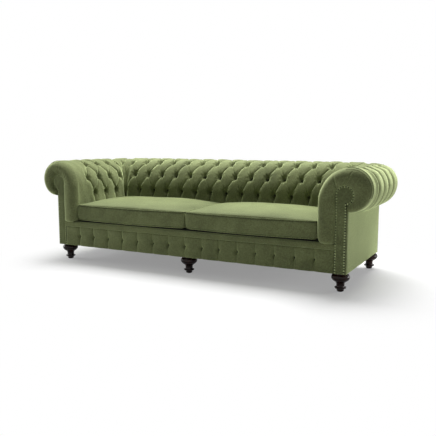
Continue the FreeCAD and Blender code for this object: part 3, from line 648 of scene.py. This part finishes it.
def arm_columns(steps):
    """From the right-hand corner to the scroll front."""
    last = (CORNER_Y - SEAM) / (ARM_PITCH / 2)
    columns = []
    for n in range(math.ceil(last * steps) + 1):
        p = min(n / steps, last)
        low = ease(p / 0.6)
        columns.append((p, ARM_FACE, CORNER_Y - p * ARM_PITCH / 2, (1.0, 0.0), ARM_SCROLL,
                        low, 0.62 + 0.38 * low, 1.0))
    return columns


STEPS = 14
back = shell("tufted_back", back_columns(STEPS), STEPS, (0.55, 0.09))
upholster(back, "inside_back_pad", pad=0.8)
for side, sign in SIDES:
    arm = shell("tufted_arm_" + side, arm_columns(STEPS), STEPS, (0.09, 0.55), sign)
    upholster(arm, "inside_arm_pad_" + side, pad=0.8)


# Covered buttons, near black: painted shade of their pits
def tuft_buttons(name, scroll, spots, replaced):
    """Buttons in the bottoms of the tufts, at spots of (x, y, outward x, outward y, row)."""
    places = []
    for x, y, ox, oy, row in spots:
        s = np.array([scroll.rows[row]])
        (d0,), (z0,) = scroll.place(s, 0.0)
        (d1,), (z1,) = scroll.place(s, 0.01)
        up = Vector((ox * (d1 - d0), oy * (d1 - d0), z1 - z0)).normalized()
        d, z = d0 - (d1 - d0) * 0.10, z0 - (z1 - z0) * 0.10
        places.append(((x + ox * d, y + oy * d, z), up))
    # Near-black velvet: painted shade in the pits
    upholster(many(name, dome(0.0095, 0.0050), places, VELVET_PAINTED_SHADE), replaced)


tuft_buttons("back_tuft_buttons", BACK_SCROLL,
             [((k + row % 2 / 2) * PITCH, BACK_FACE, 0.0, 1.0, row)
              for row in range(4) for k in range(-6 - row % 2, 7)], "back_buttons")
for side, sign in SIDES:
    tuft_buttons("arm_tuft_buttons_" + side, ARM_SCROLL,
                 [(sign * ARM_FACE, CORNER_Y - (k + 1 - row % 2 / 2) * ARM_PITCH, sign, 0.0, row)
                  for row in range(4) for k in range(3 + row % 2)], "arm_buttons_" + side)


# Scroll fronts: padded ring, facing and nails
RING_STEPS = 26
RING_START = -math.acos((HEAD_X - STEM_IN) / HEAD_R)
RING_END = math.pi + math.acos((HALF + GAP - HEAD_X) / (HEAD_R + 0.001))


def front_ring(s, t, gathers, flat, wide):
    """One ring of the scroll front, from the facing over its crest to the arm's padding.

    It lies at the length s up the scroll, the share t of its turn."""
    swell = math.sin(math.pi * (t - 0.25) / 0.70) ** 2 if 0.25 < t < 0.95 else 0.0
    (d,), (z_out,) = ARM_SCROLL.place(np.array([s]), TUFT + wide * swell)
    x_in, z_in = STEM_IN - GAP, z_out
    if s > ARM_SCROLL.straight:
        angle = RING_START + (RING_END - RING_START) * t
        x_in = HEAD_X - (HEAD_R + 2 * GAP) * math.cos(angle)
        z_in = HEAD_Z + (HEAD_R + 2 * GAP) * math.sin(angle)
    low_end = rounded(s, 0.026)
    x_out = ARM_FACE + d + (1 - low_end) * 0.018
    blunt = flat + (1.2 - flat) * ease((0.66 - t) / 0.34)
    plump = 0.016 * ease((z_out - 0.29) / 0.06) * (1 - ease((z_out - 0.54) / 0.10)) * (t < 0.4)
    line = []
    for a in np.linspace(-math.pi / 2, math.pi / 2, RING_STEPS + 1):
        share, crest = (1 + math.sin(a)) / 2, max(0.0, math.cos(a))
        rear, edge = (0.0, 0.75) if a < -1e-9 else (SEAM, blunt)
        y = rear - (rear + BULGE) * crest ** edge
        y = SEAM - (SEAM - y) * (0.25 + 0.75 * low_end)
        y += gathers(t, share, s) * (0.3 + 0.7 * low_end)
        sag = 0.013 * max(0.0, 1 - s / 0.026) ** 0.5 * ease(-y / 0.012)
        line.append((x_in + (x_out - x_in) * share - plump * crest * share, y,
                     z_in + (z_out - z_in) * share - sag))
    return line + [(x_in, SEAM, z_in)]


def scroll_front(name, sign, gathers, flat, wide):
    """Padded ring round the facing, with a cord along its outer seam and a near-black line of
    painted shade beside it.
    """
    scroll = ARM_SCROLL
    rings, rim, seam = [], [], []
    for s in np.concatenate([np.linspace(0, 0.03, 12)[:-1],
                             np.linspace(0.03, scroll.straight, 40)[:-1],
                             np.linspace(scroll.straight, scroll.length, 280)]):
        t = scroll.turned(s) / scroll.turns[-1]
        rings.append(front_ring(s, t, gathers, flat, wide))
        if 0.30 < t < 0.74:
            rim.append(rings[-1][RING_STEPS - 2])
            seam.append(rings[-1][RING_STEPS - 5])
    ob = ring_mesh(name, rings, VELVET, 55, sign)
    # The second line is near black: painted shade along the seam
    for part, path, radius, material in (("_cord", rim, 0.0026, VELVET_FLAT),
                                         ("_seam_shade_line", seam, 0.0011, VELVET_PAINTED_SHADE)):
        upholster(tube(name + part, np.array(path) * (sign, 1, 1), radius, material,
                       closed=False, up=(0.0, 1.0, 0.0)))
    return ob


def gathers_right(t, share, s):
    """Few gathers: two over the head's inner shoulder, and a faint pull below them."""
    out = 0.0
    for place, width, depth in ((0.215, 0.0085, 0.0078), (0.375, 0.0075, 0.0085),
                                (0.42, 0.010, 0.0022), (0.56, 0.010, 0.0018),
                                (0.11, 0.009, 0.0022)):
        reach = math.sin(math.pi * min(1.0, 0.1 + share)) ** 0.6 * (1.2 - share)
        out += depth * math.exp(-((t - place) / width) ** 2) * reach
    if t == 0:
        out += 0.0016 * math.exp(-((s - 0.222) / 0.008) ** 2) * math.sin(math.pi * share)
    return out


def gathers_left(t, share, s):
    """Many fine gathers all round the head."""
    if t <= 0:
        return 0.0010 * math.sin(s * 55) * math.sin(math.pi * share) * (1 - share)
    cell, local = divmod(t * GATHERS_LEFT, 1)
    depth = 0.0085 * (0.5 + scatter(cell * 1.7))
    fold = math.exp(-((local - 0.5) / 0.20) ** 2) * math.exp(-1.1 * share) * (1 - share)
    return depth * fold * min(1.0, share / 0.05) * ease(t / 0.05)


def facing_line(count=64, inset=0.0):
    """Outline of the facing, inset by the distance, from the outer foot round the head."""
    r = HEAD_R - inset
    outer, inner, low = HALF - inset, STEM_IN + inset, LOW + inset * 0.4
    turns = np.linspace(-math.acos((outer - HEAD_X) / r),
                        math.pi + math.acos((HEAD_X - inner) / r), count + 1)
    x, z = HEAD_X + r * np.cos(turns), HEAD_Z + r * np.sin(turns)
    return np.stack([np.concatenate([[outer] * 30, x, [inner] * 30]),
                     np.concatenate([np.linspace(low, z[0], 30, endpoint=False), z,
                                     np.linspace(z[-1], low, 31)[1:]])], -1)


def facing_dome(inset):
    """How far the padded facing stands before its plane, at the inset from its edge."""
    return FACING_DOME * rounded(inset, FACING_SOFT)


def facing(name, sign):
    rings = []
    insets = FACING_SOFT * np.linspace(0, 1, 11) ** 1.6
    for inset, y in [(0.0, FACING_REAR)] + [(k, FACING_Y - facing_dome(k)) for k in insets]:
        line = facing_line(inset=inset)
        rings.append(np.stack([line[:, 0], np.full(len(line), y), line[:, 1]], -1))
    return ring_mesh(name, rings, VELVET_FLAT, 50, sign)


def nail_line():
    """Line of the nails and its insets: further in along the outer side of the stem."""
    line = facing_line(200, NAIL_IN)
    outer = HALF - NAIL_IN_STEM
    line[:, 0] = np.where(line[:, 1] < HEAD_Z - HEAD_R * 0.86, np.minimum(line[:, 0], outer),
                          line[:, 0])
    return line, np.where(line[:, 0] == outer, NAIL_IN_STEM, NAIL_IN)


def nail_shade_strip(name, sign):
    """Near-black strip under the nails, following the padded facing: painted shade of the nails and
    of the groove by the pad.
    """
    line, inset = nail_line()
    along = np.gradient(line, axis=0)
    along /= np.linalg.norm(along, axis=1)[:, None]
    side = np.stack([along[:, 1], -along[:, 0]], -1)
    rows = []
    for way, wider, rise in ((-1, GAP, -0.0020), (-1, 0, 0.0004), (1, 0, 0.0004),
                             (1, GAP, -0.0020)):
        at = line + side * way * (NAIL_SHADE_HALF + wider)
        rows.append(np.stack([at[:, 0], FACING_Y - facing_dome(inset) - rise, at[:, 1]], -1))
    return ring_mesh(name, np.array(rows).transpose(1, 0, 2), NAIL_SHADE, sign=sign)


def nail_places(sign):
    line, inset = nail_line()
    along = np.concatenate([[0], np.cumsum(np.hypot(*np.diff(line, axis=0).T))])
    places = []
    for s in np.linspace(0.006, along[-1] - 0.006, int(along[-1] // NAIL_SPACING) + 1):
        x, z = np.interp(s, along, line[:, 0]), np.interp(s, along, line[:, 1])
        y = 0.0018 - facing_dome(np.interp(s, along, inset))
        places.append(((sign * x, y, z), (0, -1, 0)))
    return places


for side, sign, gathers, flat, wide in (("right", 1, gathers_right, 0.5, 0.012),
                                        ("left", -1, gathers_left, 0.9, -0.005)):
    upholster(scroll_front("scroll_front_" + side, sign, gathers, flat, wide),
              "arm_front_pad_" + side, pad=0.85)
    upholster(facing("facing_" + side, sign), "facing_panel_" + side)
    put(many("nails_" + side, dome(0.0054, 0.0038, 14), nail_places(sign), NAIL), "zip_metal")
    upholster(nail_shade_strip("nail_shade_strip_" + side, sign))


# Front band and buttoned border
def band():
    """Plain roll between the border and the cushions."""
    low, top = 0.006, 0.012
    rear = RAIL_FRONT - GAP
    profile = [(rear, BORDER_TOP + 0.0004)]
    profile += [(low - low * math.sin(a), BORDER_TOP + 0.0004 + low - low * math.cos(a))
                for a in np.linspace(0, math.pi / 2, 7)]
    profile += [(top - top * math.cos(a), BAND_TOP - top + top * math.sin(a))
                for a in np.linspace(0, math.pi / 2, 11)]
    profile += [(RAIL_FRONT, BAND_TOP), (BAND_BACK, BAND_TOP), (BAND_BACK, RAIL_TOP + GAP),
                (rear, RAIL_TOP + GAP)]
    y, z = np.array(profile).T
    crown = PROUD + 0.002 + 0.0015 * np.sin(math.pi * (z - BORDER_TOP) / (BAND_TOP - BORDER_TOP))
    rings = []
    for x in np.linspace(-STEM_IN + 2 * GAP, STEM_IN - 2 * GAP, 420):
        wave = 0.0011 * math.sin(x * 21 + 0.6) * math.sin(x * 8.3)
        rings.append(np.stack([np.full_like(y, x), y - (crown + wave) * (y < 0.029), z], -1))
    return ring_mesh("front_band_roll", rings, VELVET, 55)


def border_depth(x, z):
    """Face of the border behind y = 0: soft pillows, buttons drawn in, a pleat above and below."""
    k = np.clip(np.round(x / BORDER_PITCH), -BORDER_SIDE, BORDER_SIDE)
    dx = x - k * BORDER_PITCH - 0.0015 * np.sin(k * 2.3)
    dz = z - BUTTON_Z
    up = np.clip(np.abs(dz) / 0.066, 0, 1)
    u = np.clip(np.abs(dx) / (BORDER_PITCH / 2), 0, 1)
    pillow = 0.0085 * (1 - np.sin(np.pi * u / 2) ** 0.55)
    pleat = 0.0036 * np.exp(-(np.abs(dx) / 0.0055) ** 1.3) * (1 - 0.4 * up)
    pit = 0.0135 * np.exp(-(np.hypot(dx, dz * 0.85) / 0.0125) ** 2.2)
    ends = 0.006 * (2 - rounded(BORDER_TOP - z, 0.016) - rounded(z - LOW, 0.014)) \
        + 0.012 * (1 - rounded(STEM_IN - np.abs(x), 0.014))
    return 2 * GAP - PROUD + pillow * (1 - 0.25 * up) + pleat + pit + ends


def border():
    xs = np.linspace(-STEM_IN + 2 * GAP, STEM_IN - 2 * GAP, 760)
    x, z = np.meshgrid(xs, LOW + (BORDER_TOP - LOW) * spread(40), indexing="ij")
    front = np.stack([x, border_depth(x, z), z], -1)
    rear = np.stack([x[:, [-1, 0]], np.full((len(xs), 2), RAIL_FRONT - GAP), z[:, [-1, 0]]], -1)
    return ring_mesh("border_tufted", np.concatenate([front, rear], 1), VELVET_SEAT_PAINTED_LIGHT, 55)


upholster(band(), "front_band", pad=0.7)
upholster(border(), "front_border_pad", pad=0.7)
places = [((k * BORDER_PITCH + 0.0015 * math.sin(k * 2.3), 0.0225 - PROUD, BUTTON_Z), (0, -1, 0))
          for k in range(-BORDER_SIDE, BORDER_SIDE + 1)]
# Near-black velvet on the border buttons: painted shade in their pits
upholster(many("border_tuft_buttons", dome(0.0060, 0.0045), places, VELVET_PAINTED_SHADE),
          "border_buttons")


# Outside panels
def panel(name, replaced, corner, along, out, length):
    """Padded flat panel up to the roll, softly bowed out, with rounded edges."""
    corner, along, out, up = (np.array(v, float) for v in (corner, along, out, (0, 0, 1)))
    height, bow = UNDER_ROLL - LOW, 0.003
    a, b = np.meshgrid(spread(61), spread(45), indexing="ij")
    inset = np.minimum.reduce([a * length, (1 - a) * length, b * height, (1 - b) * height])
    swell = bow * (np.sin(math.pi * a) * np.sin(math.pi * b)) ** 0.6
    wobble = 0.0007 * np.sin(a * 9 + b * 4) * np.sin(b * 11 - a * 3)
    depth = (PANEL + swell + wobble) * rounded(inset, 0.004)
    grid = corner + along * (a * length)[..., None] + up * (b * height)[..., None] \
        + out * depth[..., None]
    faces = grid_faces(*a.shape) + [tuple(rim_of(*a.shape))]
    upholster(solid_mesh(name, grid.reshape(-1, 3), faces, VELVET_FLAT, 60), replaced)


for side, sign in SIDES:
    panel("outside_panel_" + side, "outside_arm_" + side,
          (sign * (HALF - PANEL), 0.0124, LOW), (0, 1, 0), (sign, 0, 0), DEPTH - PANEL - 0.0128)
panel("outside_panel_back", "outside_back", (HALF, DEPTH - PANEL, LOW), (-1, 0, 0), (0, 1, 0),
      2 * HALF)


# Loose cushions
def cushion_form(shrink, crown):
    """Box cushion as rings from front to back: crowned top, bowed sides, flat underside."""
    top, low, soft = BOX_TOP - shrink, SEAT + shrink, 0.004
    across, down = np.arange(32) / 32, np.arange(8) / 8
    rings = []
    for u in spread(91):
        y = Y_LOW + (Y_HIGH - Y_LOW) * u + (shrink if u < 0.5 else -shrink)
        swell = math.sin(math.pi * u)
        edge_rise = EDGE_FRONT * (1 - u) + EDGE_BACK * u
        rise = (edge_rise + (CROWN - edge_rise) * swell ** 0.85) * crown
        near = min(u, 1 - u) * (Y_HIGH - Y_LOW)
        cap, inset = rounded(near, 0.006), 0.016 * (1 - rounded(near, 0.016))
        left = X_LOW + SIDE_BOW * swell + shrink + inset
        right = X_HIGH - SIDE_BOW * swell - shrink + SIDE_BOW * (1 - u) ** 6 - inset
        run, rim = (right - left) * across, (right - left) * np.minimum(across, 1 - across)
        bow, fall = SIDE_BOW * np.sin(math.pi * down) * cap, (top - low - 2 * soft) * down
        over = top - soft * (1 - rounded(rim, 0.006)) - 0.003 * (1 - cap) \
            + rise * np.sqrt(4 * across * (1 - across)) * (0.35 + 0.65 * cap)
        x = np.concatenate([left + run, right + bow, right - run, left - bow])
        z = np.concatenate([over, top - soft - fall, low + soft * (1 - rounded(rim, 0.01)),
                            low + soft + fall])
        rings.append(np.stack([x, np.full_like(x, y), z], -1))
    return rings


def coordinates(me):
    co = np.empty(len(me.vertices) * 3)
    me.vertices.foreach_get("co", co)
    return co.reshape(-1, 3)


def move_to(ob, co):
    ob.data.vertices.foreach_set("co", np.asarray(co, float).ravel())
    ob.data.update()


def hold_seams(ob, reach):
    """Vertex group of the points along the twelve edges of a box cushion."""
    x, y, z = np.abs(coordinates(ob.data) + (0, MIDDLE, 0)).T
    at_x = np.minimum(x - X_LOW, X_HIGH - x) < reach
    at_y = np.minimum(y - Y_LOW, Y_HIGH - y) < reach
    at_z = (z < SEAT + reach) | (np.abs(z - BOX_TOP + 0.004) < reach)
    edge = (at_x & at_y) | ((at_x | at_y) & at_z)
    group = ob.vertex_groups.new(name="seams")
    group.add([int(k) for k in np.nonzero(edge)[0]], 1.0, "REPLACE")


def inflate(ob, pressure, cap, frames=20):
    """Lets the cloth swell, then keeps the result with no point moved further than the cap."""
    start = coordinates(ob.data)
    mod = ob.modifiers.new("swell", "CLOTH")
    cloth_settings = mod.settings
    cloth_settings.vertex_group_mass = "seams"
    cloth_settings.quality = 5
    cloth_settings.use_pressure = True
    cloth_settings.uniform_pressure_force = pressure
    cloth_settings.effector_weights.gravity = 0
    cloth_settings.tension_stiffness = cloth_settings.compression_stiffness = 12
    cloth_settings.bending_stiffness = 0.4
    mod.point_cache.frame_start, mod.point_cache.frame_end = 1, frames
    for f in range(1, frames + 1):
        scene.frame_set(f)
    end = coordinates(ob.evaluated_get(bpy.context.evaluated_depsgraph_get()).data)
    ob.modifiers.remove(mod)
    scene.frame_set(1)
    move = end - start
    size = np.linalg.norm(move, axis=1)
    move_to(ob, start + move * np.minimum(1, cap / np.maximum(size, 1e-9))[:, None])


def settle(ob, sign):
    """Flat underside, seams along the boxing, soft dents on the top."""
    x, y, z = (coordinates(ob.data) + (0, MIDDLE, 0)).T.copy()
    ax = np.abs(x)
    over = np.clip((ax - X_LOW) / (X_HIGH - X_LOW), 0, 1)
    # dents and brushed unevenness of the top
    upper = ease((z - BOX_TOP) / 0.02)
    z += upper * (0.0024 * np.sin(ax * 11 + sign * 0.9 + y * 5) * np.sin(y * 13 + sign)
                  - 0.0028 * np.exp(-(((ax - 0.28) / 0.16) ** 2 + ((y - 0.2) / 0.14) ** 2)))
    # seams: narrow grooves at the upper and lower edge of the boxing
    sidewall = 0.012 + np.minimum.reduce([ax - X_LOW, X_HIGH - ax, y - Y_LOW, Y_HIGH - y])
    outside = ease((0.030 - sidewall) / 0.016)
    seam_z = BOX_TOP - 0.010 + 0.0016 * np.sin(ax * 17 + sign * 2)
    groove = 0.0030 * (np.exp(-((z - seam_z) / 0.0035) ** 2)
                       + 0.8 * np.exp(-((z - SEAT - 0.012) / 0.0035) ** 2)) * outside
    nx = np.clip((2 * ax - X_LOW - X_HIGH) / (X_HIGH - X_LOW), -1, 1)
    ny = np.clip((2 * y - Y_LOW - Y_HIGH) / (Y_HIGH - Y_LOW), -1, 1)
    x -= np.sign(x) * groove * np.sign(nx) * (np.abs(nx) > np.abs(ny))
    y -= groove * np.sign(ny) * (np.abs(ny) >= np.abs(nx))
    # puckers along the boxing
    y += 0.0012 * np.sin(ax * 38 + sign) * outside * (ny < 0) * ease((BOX_TOP - z) / 0.05)
    # flat where it rests, and sagging a little where its front stands over the band
    z = np.maximum(z, SEAT)
    front = ease((0.040 - y) / 0.030) * ease((BOX_TOP + 0.01 - z) / 0.02)
    z -= 0.006 * np.sin(np.pi * over) * front
    x = np.sign(x) * np.clip(np.abs(x), X_LOW - 0.003, X_HIGH + 0.005)
    y = np.clip(y, Y_LOW - 0.001, Y_HIGH)
    move_to(ob, np.stack([x, y - MIDDLE, z], -1))


def cushion(side, sign):
    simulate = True
    rings = cushion_form(0.0012, 0.80) if simulate else cushion_form(0.0, 1.0)
    ob = ring_mesh("cushion_" + side, rings, VELVET_SEAT_PAINTED_LIGHT, sign=sign)
    if simulate:
        mod = ob.modifiers.new("remesh", "REMESH")
        mod.mode = "VOXEL"
        mod.voxel_size = 0.006
        bpy.context.view_layer.objects.active = ob
        for other in bpy.context.selected_objects:
            other.select_set(False)
        ob.select_set(True)
        bpy.ops.object.modifier_apply(modifier="remesh")
        hold_seams(ob, 0.007)
        inflate(ob, 4.0, 0.009)
        mod = ob.modifiers.new("finer", "SUBSURF")
        mod.levels = mod.render_levels = 1
        bpy.ops.object.modifier_apply(modifier="finer")
        ob.select_set(False)
        ob.data.materials.clear()
        ob.data.materials.append(VELVET_SEAT_PAINTED_LIGHT)
    settle(ob, sign)
    ob.data.polygons.foreach_set("use_smooth", [True] * len(ob.data.polygons))
    return ob


def welt_path(tree, sign, z, inset=0.030, out=0.05, step=0.009):
    """Points round the cushion at the height z, found by rays from outside."""
    corners = [(X_LOW, Y_LOW), (X_HIGH, Y_LOW), (X_HIGH, Y_HIGH), (X_LOW, Y_HIGH)]
    for (xa, ya), (xb, yb) in zip(corners, corners[1:] + corners[:1]):
        count = int(math.hypot(xb - xa, yb - ya) / step)
        for k in np.arange(count) / count:
            x, y = xa + (xb - xa) * k, ya + (yb - ya) * k
            ax = min(max(x, X_LOW + inset), X_HIGH - inset)
            ay = min(max(y, Y_LOW + inset), Y_HIGH - inset)
            gap = math.hypot(x - ax, y - ay)
            dx, dy = (x - ax) / gap, (y - ay) / gap
            start = Vector((sign * (x + dx * out), y + dy * out - MIDDLE, z - 0.003))
            hit = tree.ray_cast(start, Vector((-sign * dx, -dy, 0)))[0]
            if hit:
                hx = min(max(sign * hit.x + dx * 0.0006, X_LOW + 0.0001), X_HIGH + 0.0035)
                sag = 0.006 * math.sin(math.pi * (x - X_LOW) / (X_HIGH - X_LOW)) \
                    * ease((0.040 - y) / 0.030)
                yield sign * hx, hit.y + MIDDLE + dy * 0.0008, z - sag


for side, sign in SIDES:
    body = "seat_cushion_" + side
    pad = cushion(side, sign)
    upholster(pad, "cushion_cover_" + side, "cushion_core_" + side, body=body, pad=0.8)
    tree = BVHTree.FromPolygons([v.co for v in pad.data.vertices],
                                [tuple(f.vertices) for f in pad.data.polygons])
    # The thin near-black cord under the upper welt is painted shade along the seam
    for level, z, radius, material in (("welt_upper", BOX_TOP - 0.004, 0.0032, VELVET_SEAT_PAINTED_LIGHT),
                                       ("shade_line_upper", BOX_TOP - 0.0105, 0.0016, VELVET_PAINTED_SHADE),
                                       ("welt_lower", SEAT + 0.008, 0.0032, VELVET_SEAT_PAINTED_LIGHT)):
        cord = tube("cushion_%s_%s" % (level, side), list(welt_path(tree, sign, z)), radius,
                    material)
        upholster(cord, body=body)


# Zip along the back of each cushion
def zip_parts(side):
    """Tape in two bands, a row of teeth, and the slider with its pull."""
    (a, b), (c, d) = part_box("zip_tape_" + side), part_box("zip_slider_" + side)
    body = "seat_cushion_" + side
    y, z = a.y + MIDDLE, (a.z + b.z) / 2
    tape = blocks("zip_band_" + side, [(a.x, b.x, y, y + 0.0006, a.z, z - 0.0004),
                                       (a.x, b.x, y, y + 0.0006, z + 0.0004, b.z)], ZIP_CLOTH)
    put(tape, "zip_cloth", "zip_tape_" + side, body=body)
    teeth = []
    for k, x in enumerate(np.linspace(a.x + 0.006, b.x - 0.006, ZIP_TEETH)):
        middle = z + (0.0010 if k % 2 else -0.0010)
        teeth.append((x - 0.0009, x + 0.0009, y + GAP, y + 0.0012,
                      middle - 0.0020, middle + 0.0020))
    put(blocks("zip_teeth_" + side, teeth, ZIP_METAL), "zip_metal", body=body)
    y = c.y + MIDDLE
    plate = (c.x + 0.010, d.x, y, y + 0.0012, c.z, d.z)
    bridge = (c.x + 0.013, d.x - 0.003, y + 0.0010, d.y + MIDDLE - 0.0013, z - 0.0018,
              z + 0.0018)
    pull = (c.x, c.x + 0.013, y + 0.0008, y + 0.0018, z - 0.0030, z + 0.0030)
    put(blocks("zip_pull_" + side, [plate, bridge, pull], ZIP_METAL, 0.0004), "zip_metal",
        "zip_slider_" + side, body="zip_slider_" + side)


zip_parts("right")
zip_parts("left")


# Seat deck and dust cover
def deck():
    """Deck pad: level along the rim, sloping up to its flat top."""
    a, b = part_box("deck_pad")
    u, w = np.meshgrid(np.linspace(0, 1, 51), np.linspace(0, 1, 25), indexing="ij")
    length, width = b.x - a.x, b.y - a.y
    inset = np.minimum.reduce([u * length, (1 - u) * length, (1 - w) * width, 2 * w * width])
    z = BAND_TOP + (b.z - BAND_TOP) * ease((inset - 0.041) / 0.03)
    top = np.stack([a.x + length * u, a.y + MIDDLE + width * w, z], -1).reshape(-1, 3)
    rim = rim_of(*u.shape)
    low = [(x, y, a.z) for x, y, _z in top[rim]]
    count, start = len(rim), len(top)
    faces = grid_faces(*u.shape) + [tuple(range(start, start + count))]
    for k in range(count):
        after = (k + 1) % count
        faces.append((rim[k], rim[after], start + after, start + k))
    return solid_mesh("seat_deck", np.concatenate([top, low]), faces, DECK, 50)


def lining(n=120, m=44):
    """Dust cover stapled under the rails, with a hole round each foot."""
    a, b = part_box("dust_cover")
    length, width = b.x - a.x, b.y - a.y
    x, y = np.meshgrid(a.x + length * np.arange(n + 1) / n,
                       a.y + MIDDLE + width * np.arange(m + 1) / m, indexing="ij")
    z = (a.z + b.z) / 2 + 0.0004 * np.sin(x * 9) * np.sin(y * 7)
    faces = []
    for face in grid_faces(n + 1, m + 1):
        i, j = divmod(face[0], m + 1)
        fx, fy = a.x + length * (i + 0.5) / n, a.y + MIDDLE + width * (j + 0.5) / m
        if all(math.hypot(fx - foot_x, fy - foot_y) > 0.044
               for foot_x in FEET_X for foot_y in (FEET_FRONT, FEET_BACK)):
            faces.append(face)
    ob = make_mesh("dust_lining", np.stack([x, y, z], -1).reshape(-1, 3), faces, LINING)
    bm = bmesh.new()
    bm.from_mesh(ob.data)
    bmesh.ops.delete(bm, geom=[v for v in bm.verts if not v.link_faces], context="VERTS")
    bm.to_mesh(ob.data)
    bm.free()
    put(ob, "dust_cloth", "dust_cover")


put(deck(), "deck_cloth", "deck_pad", pad=0.7)
# The dark deck cloth carried forward over the band's top: partly the platform cloth, partly painted
# shade for the gap under the cushions
put(blocks("deck_flap_and_shade", [(-STEM_IN + 0.004, STEM_IN - 0.004, 0.0070, BAND_BACK - GAP,
                          BAND_TOP + 0.0001, BAND_TOP + 0.0009)], DECK), "deck_cloth")
lining()


# Turned feet
# Radius and height of the turning, from the toe up to the shoulder
FOOT_TOE = [(0.0150, 0.0030), (0.0195, 0.0030), (0.0212, 0.0060), (0.0218, 0.0120),
            (0.0235, 0.0155), (0.0285, 0.0185)]
FOOT_COLLAR = [(0.0328, 0.0205), (0.0348, 0.0235), (0.0350, 0.0262), (0.0340, 0.0285),
               (0.0310, 0.0297), (0.0262, 0.0302)]
FOOT_NECK = [(0.0254, 0.0312), (0.0246, 0.0350), (0.0240, 0.0410), (0.0245, 0.0470),
             (0.0262, 0.0525), (0.0285, 0.0560)]
FOOT_BEAD = [(0.0305, 0.0572), (0.0318, 0.0585), (0.0320, 0.0600), (0.0350, 0.0615)]
FOOT_BULB = [(0.0420, 0.0660), (0.0490, 0.0725), (0.0542, 0.0800), (0.0562, 0.0870),
             (0.0556, 0.0945), (0.0528, 0.1010), (0.0478, 0.1058), (0.0425, 0.1078)]
FOOT_SHOULDER = [(0.0420, 0.1095), (0.0420, FOOT + 0.0008)]


def feet(name, y, replaced, sides=48):
    profile = FOOT_TOE + FOOT_COLLAR + FOOT_NECK + FOOT_BEAD + FOOT_BULB + FOOT_SHOULDER
    turns = np.linspace(0, 2 * math.pi, sides, endpoint=False)
    verts, faces = [], []
    for x in FEET_X:
        faces += ring_faces(len(profile), sides, start=len(verts))
        verts += [(x + r * math.cos(a), y + r * math.sin(a), z) for r, z in profile
                  for a in turns]
    put(solid_mesh(name, verts, faces, FOOT_WOOD, 40), "dark_turned_wood", replaced)


feet("turned_feet_front", FEET_FRONT, "front_feet")
feet("turned_feet_back", FEET_BACK, "back_feet")


# Frame pieces keep their own shape and get their real material
for material, starts in ((PLY, ("arm_ribs", "back_ribs", "arm_roll_former", "back_roll_former",
                                "arm_front_post")),
                         (FRAME_WOOD, ("front_rail", "side_rail", "back_rail", "seat_cross",
                                       "arm_liner", "back_liner", "arm_tack", "back_tack",
                                       "back_corner", "foot_blocks")),
                         (JUTE, "seat_webbing"), (STEEL, "foot_bolts"), (GLIDE, "foot_glides")):
    for name, ob in nodes.items():
        if name.startswith(starts):
            ob.data.materials.clear()
            ob.data.materials.append(material)


# Stage: pale floor, white surround, soft lights
def background_rays(nt):
    """1 for the rays that show the background: camera, glossy and transmission rays."""
    path = add(nt, "LightPath").outputs
    seen = math_node(nt, "MAXIMUM", path["Is Glossy Ray"], path["Is Transmission Ray"])
    return math_node(nt, "MAXIMUM", path["Is Camera Ray"], seen)


def make_floor(half=30.0):
    """Pale floor with the object's shadow, which fades to white in an oval round it."""
    me = bpy.data.meshes.new("floor")
    me.from_pydata([(-half, -half, 0), (half, -half, 0), (half, half, 0), (-half, half, 0)], [],
                   [(0, 1, 2, 3)])
    floor = bpy.data.objects.new("floor", me)
    scene.collection.objects.link(floor)
    material, nt, shader, coords = new_material("floor")
    fill(nt, shader, {"Base Color": ramp(nt, noise(nt, coords, 3.0, 2.0), (0.0, 0.76),
                                         (1.0, 0.79)),
                      "Roughness": 0.95, "Specular IOR Level": 0.1})
    moved = add(nt, "VectorMath", {0: coords, 1: (0.15, -0.05, 0.0)}, operation="SUBTRACT")
    oval = add(nt, "VectorMath", {0: moved.outputs[0], 1: (1 / 1.35, 1 / 1.05, 1.0)},
               operation="MULTIPLY")
    distance = add(nt, "VectorMath", {0: oval.outputs[0]}, operation="LENGTH").outputs["Value"]
    fade = add(nt, "MapRange", {"Value": distance, "From Min": 0.85, "From Max": 1.38,
                                "To Min": 0.27, "To Max": 1.0},
               interpolation_type="SMOOTHSTEP").outputs[0]
    # Painted light: the rays that show the background see the floor partly glowing, a little near
    # the object, which lifts its shadow, and fully further out, which makes it white
    glow = add(nt, "Emission", {"Strength": 1.0}).outputs[0]
    blend = add(nt, "MixShader", {0: math_node(nt, "MULTIPLY", fade, background_rays(nt)),
                                  1: shader.outputs[0], 2: glow})
    fill(nt, nt.nodes["Material Output"], {"Surface": blend.outputs[0]})
    me.materials.append(material)


def make_world():
    """White to look at, and a weak light from all sides."""
    world = bpy.data.worlds.new("world")
    scene.world = world
    world.use_nodes = True
    nt = world.node_tree
    nt.nodes.clear()
    weak = add(nt, "Background", {"Color": (0.98, 0.99, 1.0, 1), "Strength": 0.14})
    white = add(nt, "Background", {"Color": (1, 1, 1, 1), "Strength": 1.0})
    mix = add(nt, "MixShader", {0: background_rays(nt), 1: weak.outputs[0], 2: white.outputs[0]})
    add(nt, "OutputWorld", {"Surface": mix.outputs[0]})


def area_light(name, place, aim, size, power):
    data = bpy.data.lights.new(name, "AREA")
    data.shape = "RECTANGLE"
    data.size, data.size_y = size
    data.energy = power
    ob = bpy.data.objects.new(name, data)
    ob.location = place
    ob.rotation_euler = (Vector(aim) - Vector(place)).to_track_quat("-Z", "Y").to_euler()
    scene.collection.objects.link(ob)


make_floor()
make_world()
area_light("top", (0.0, 1.15, 3.4), (0.0, 0.0, 0.3), (3.9, 2.6), 302)
area_light("side", (3.1, 1.15, 0.45), (1.15, 0.10, 0.40), (1.8, 0.5), 38)
area_light("left", (-3.2, -0.6, 0.9), (0.0, -0.2, 0.35), (1.6, 1.0), 28)
scene.view_settings.view_transform = "Standard"
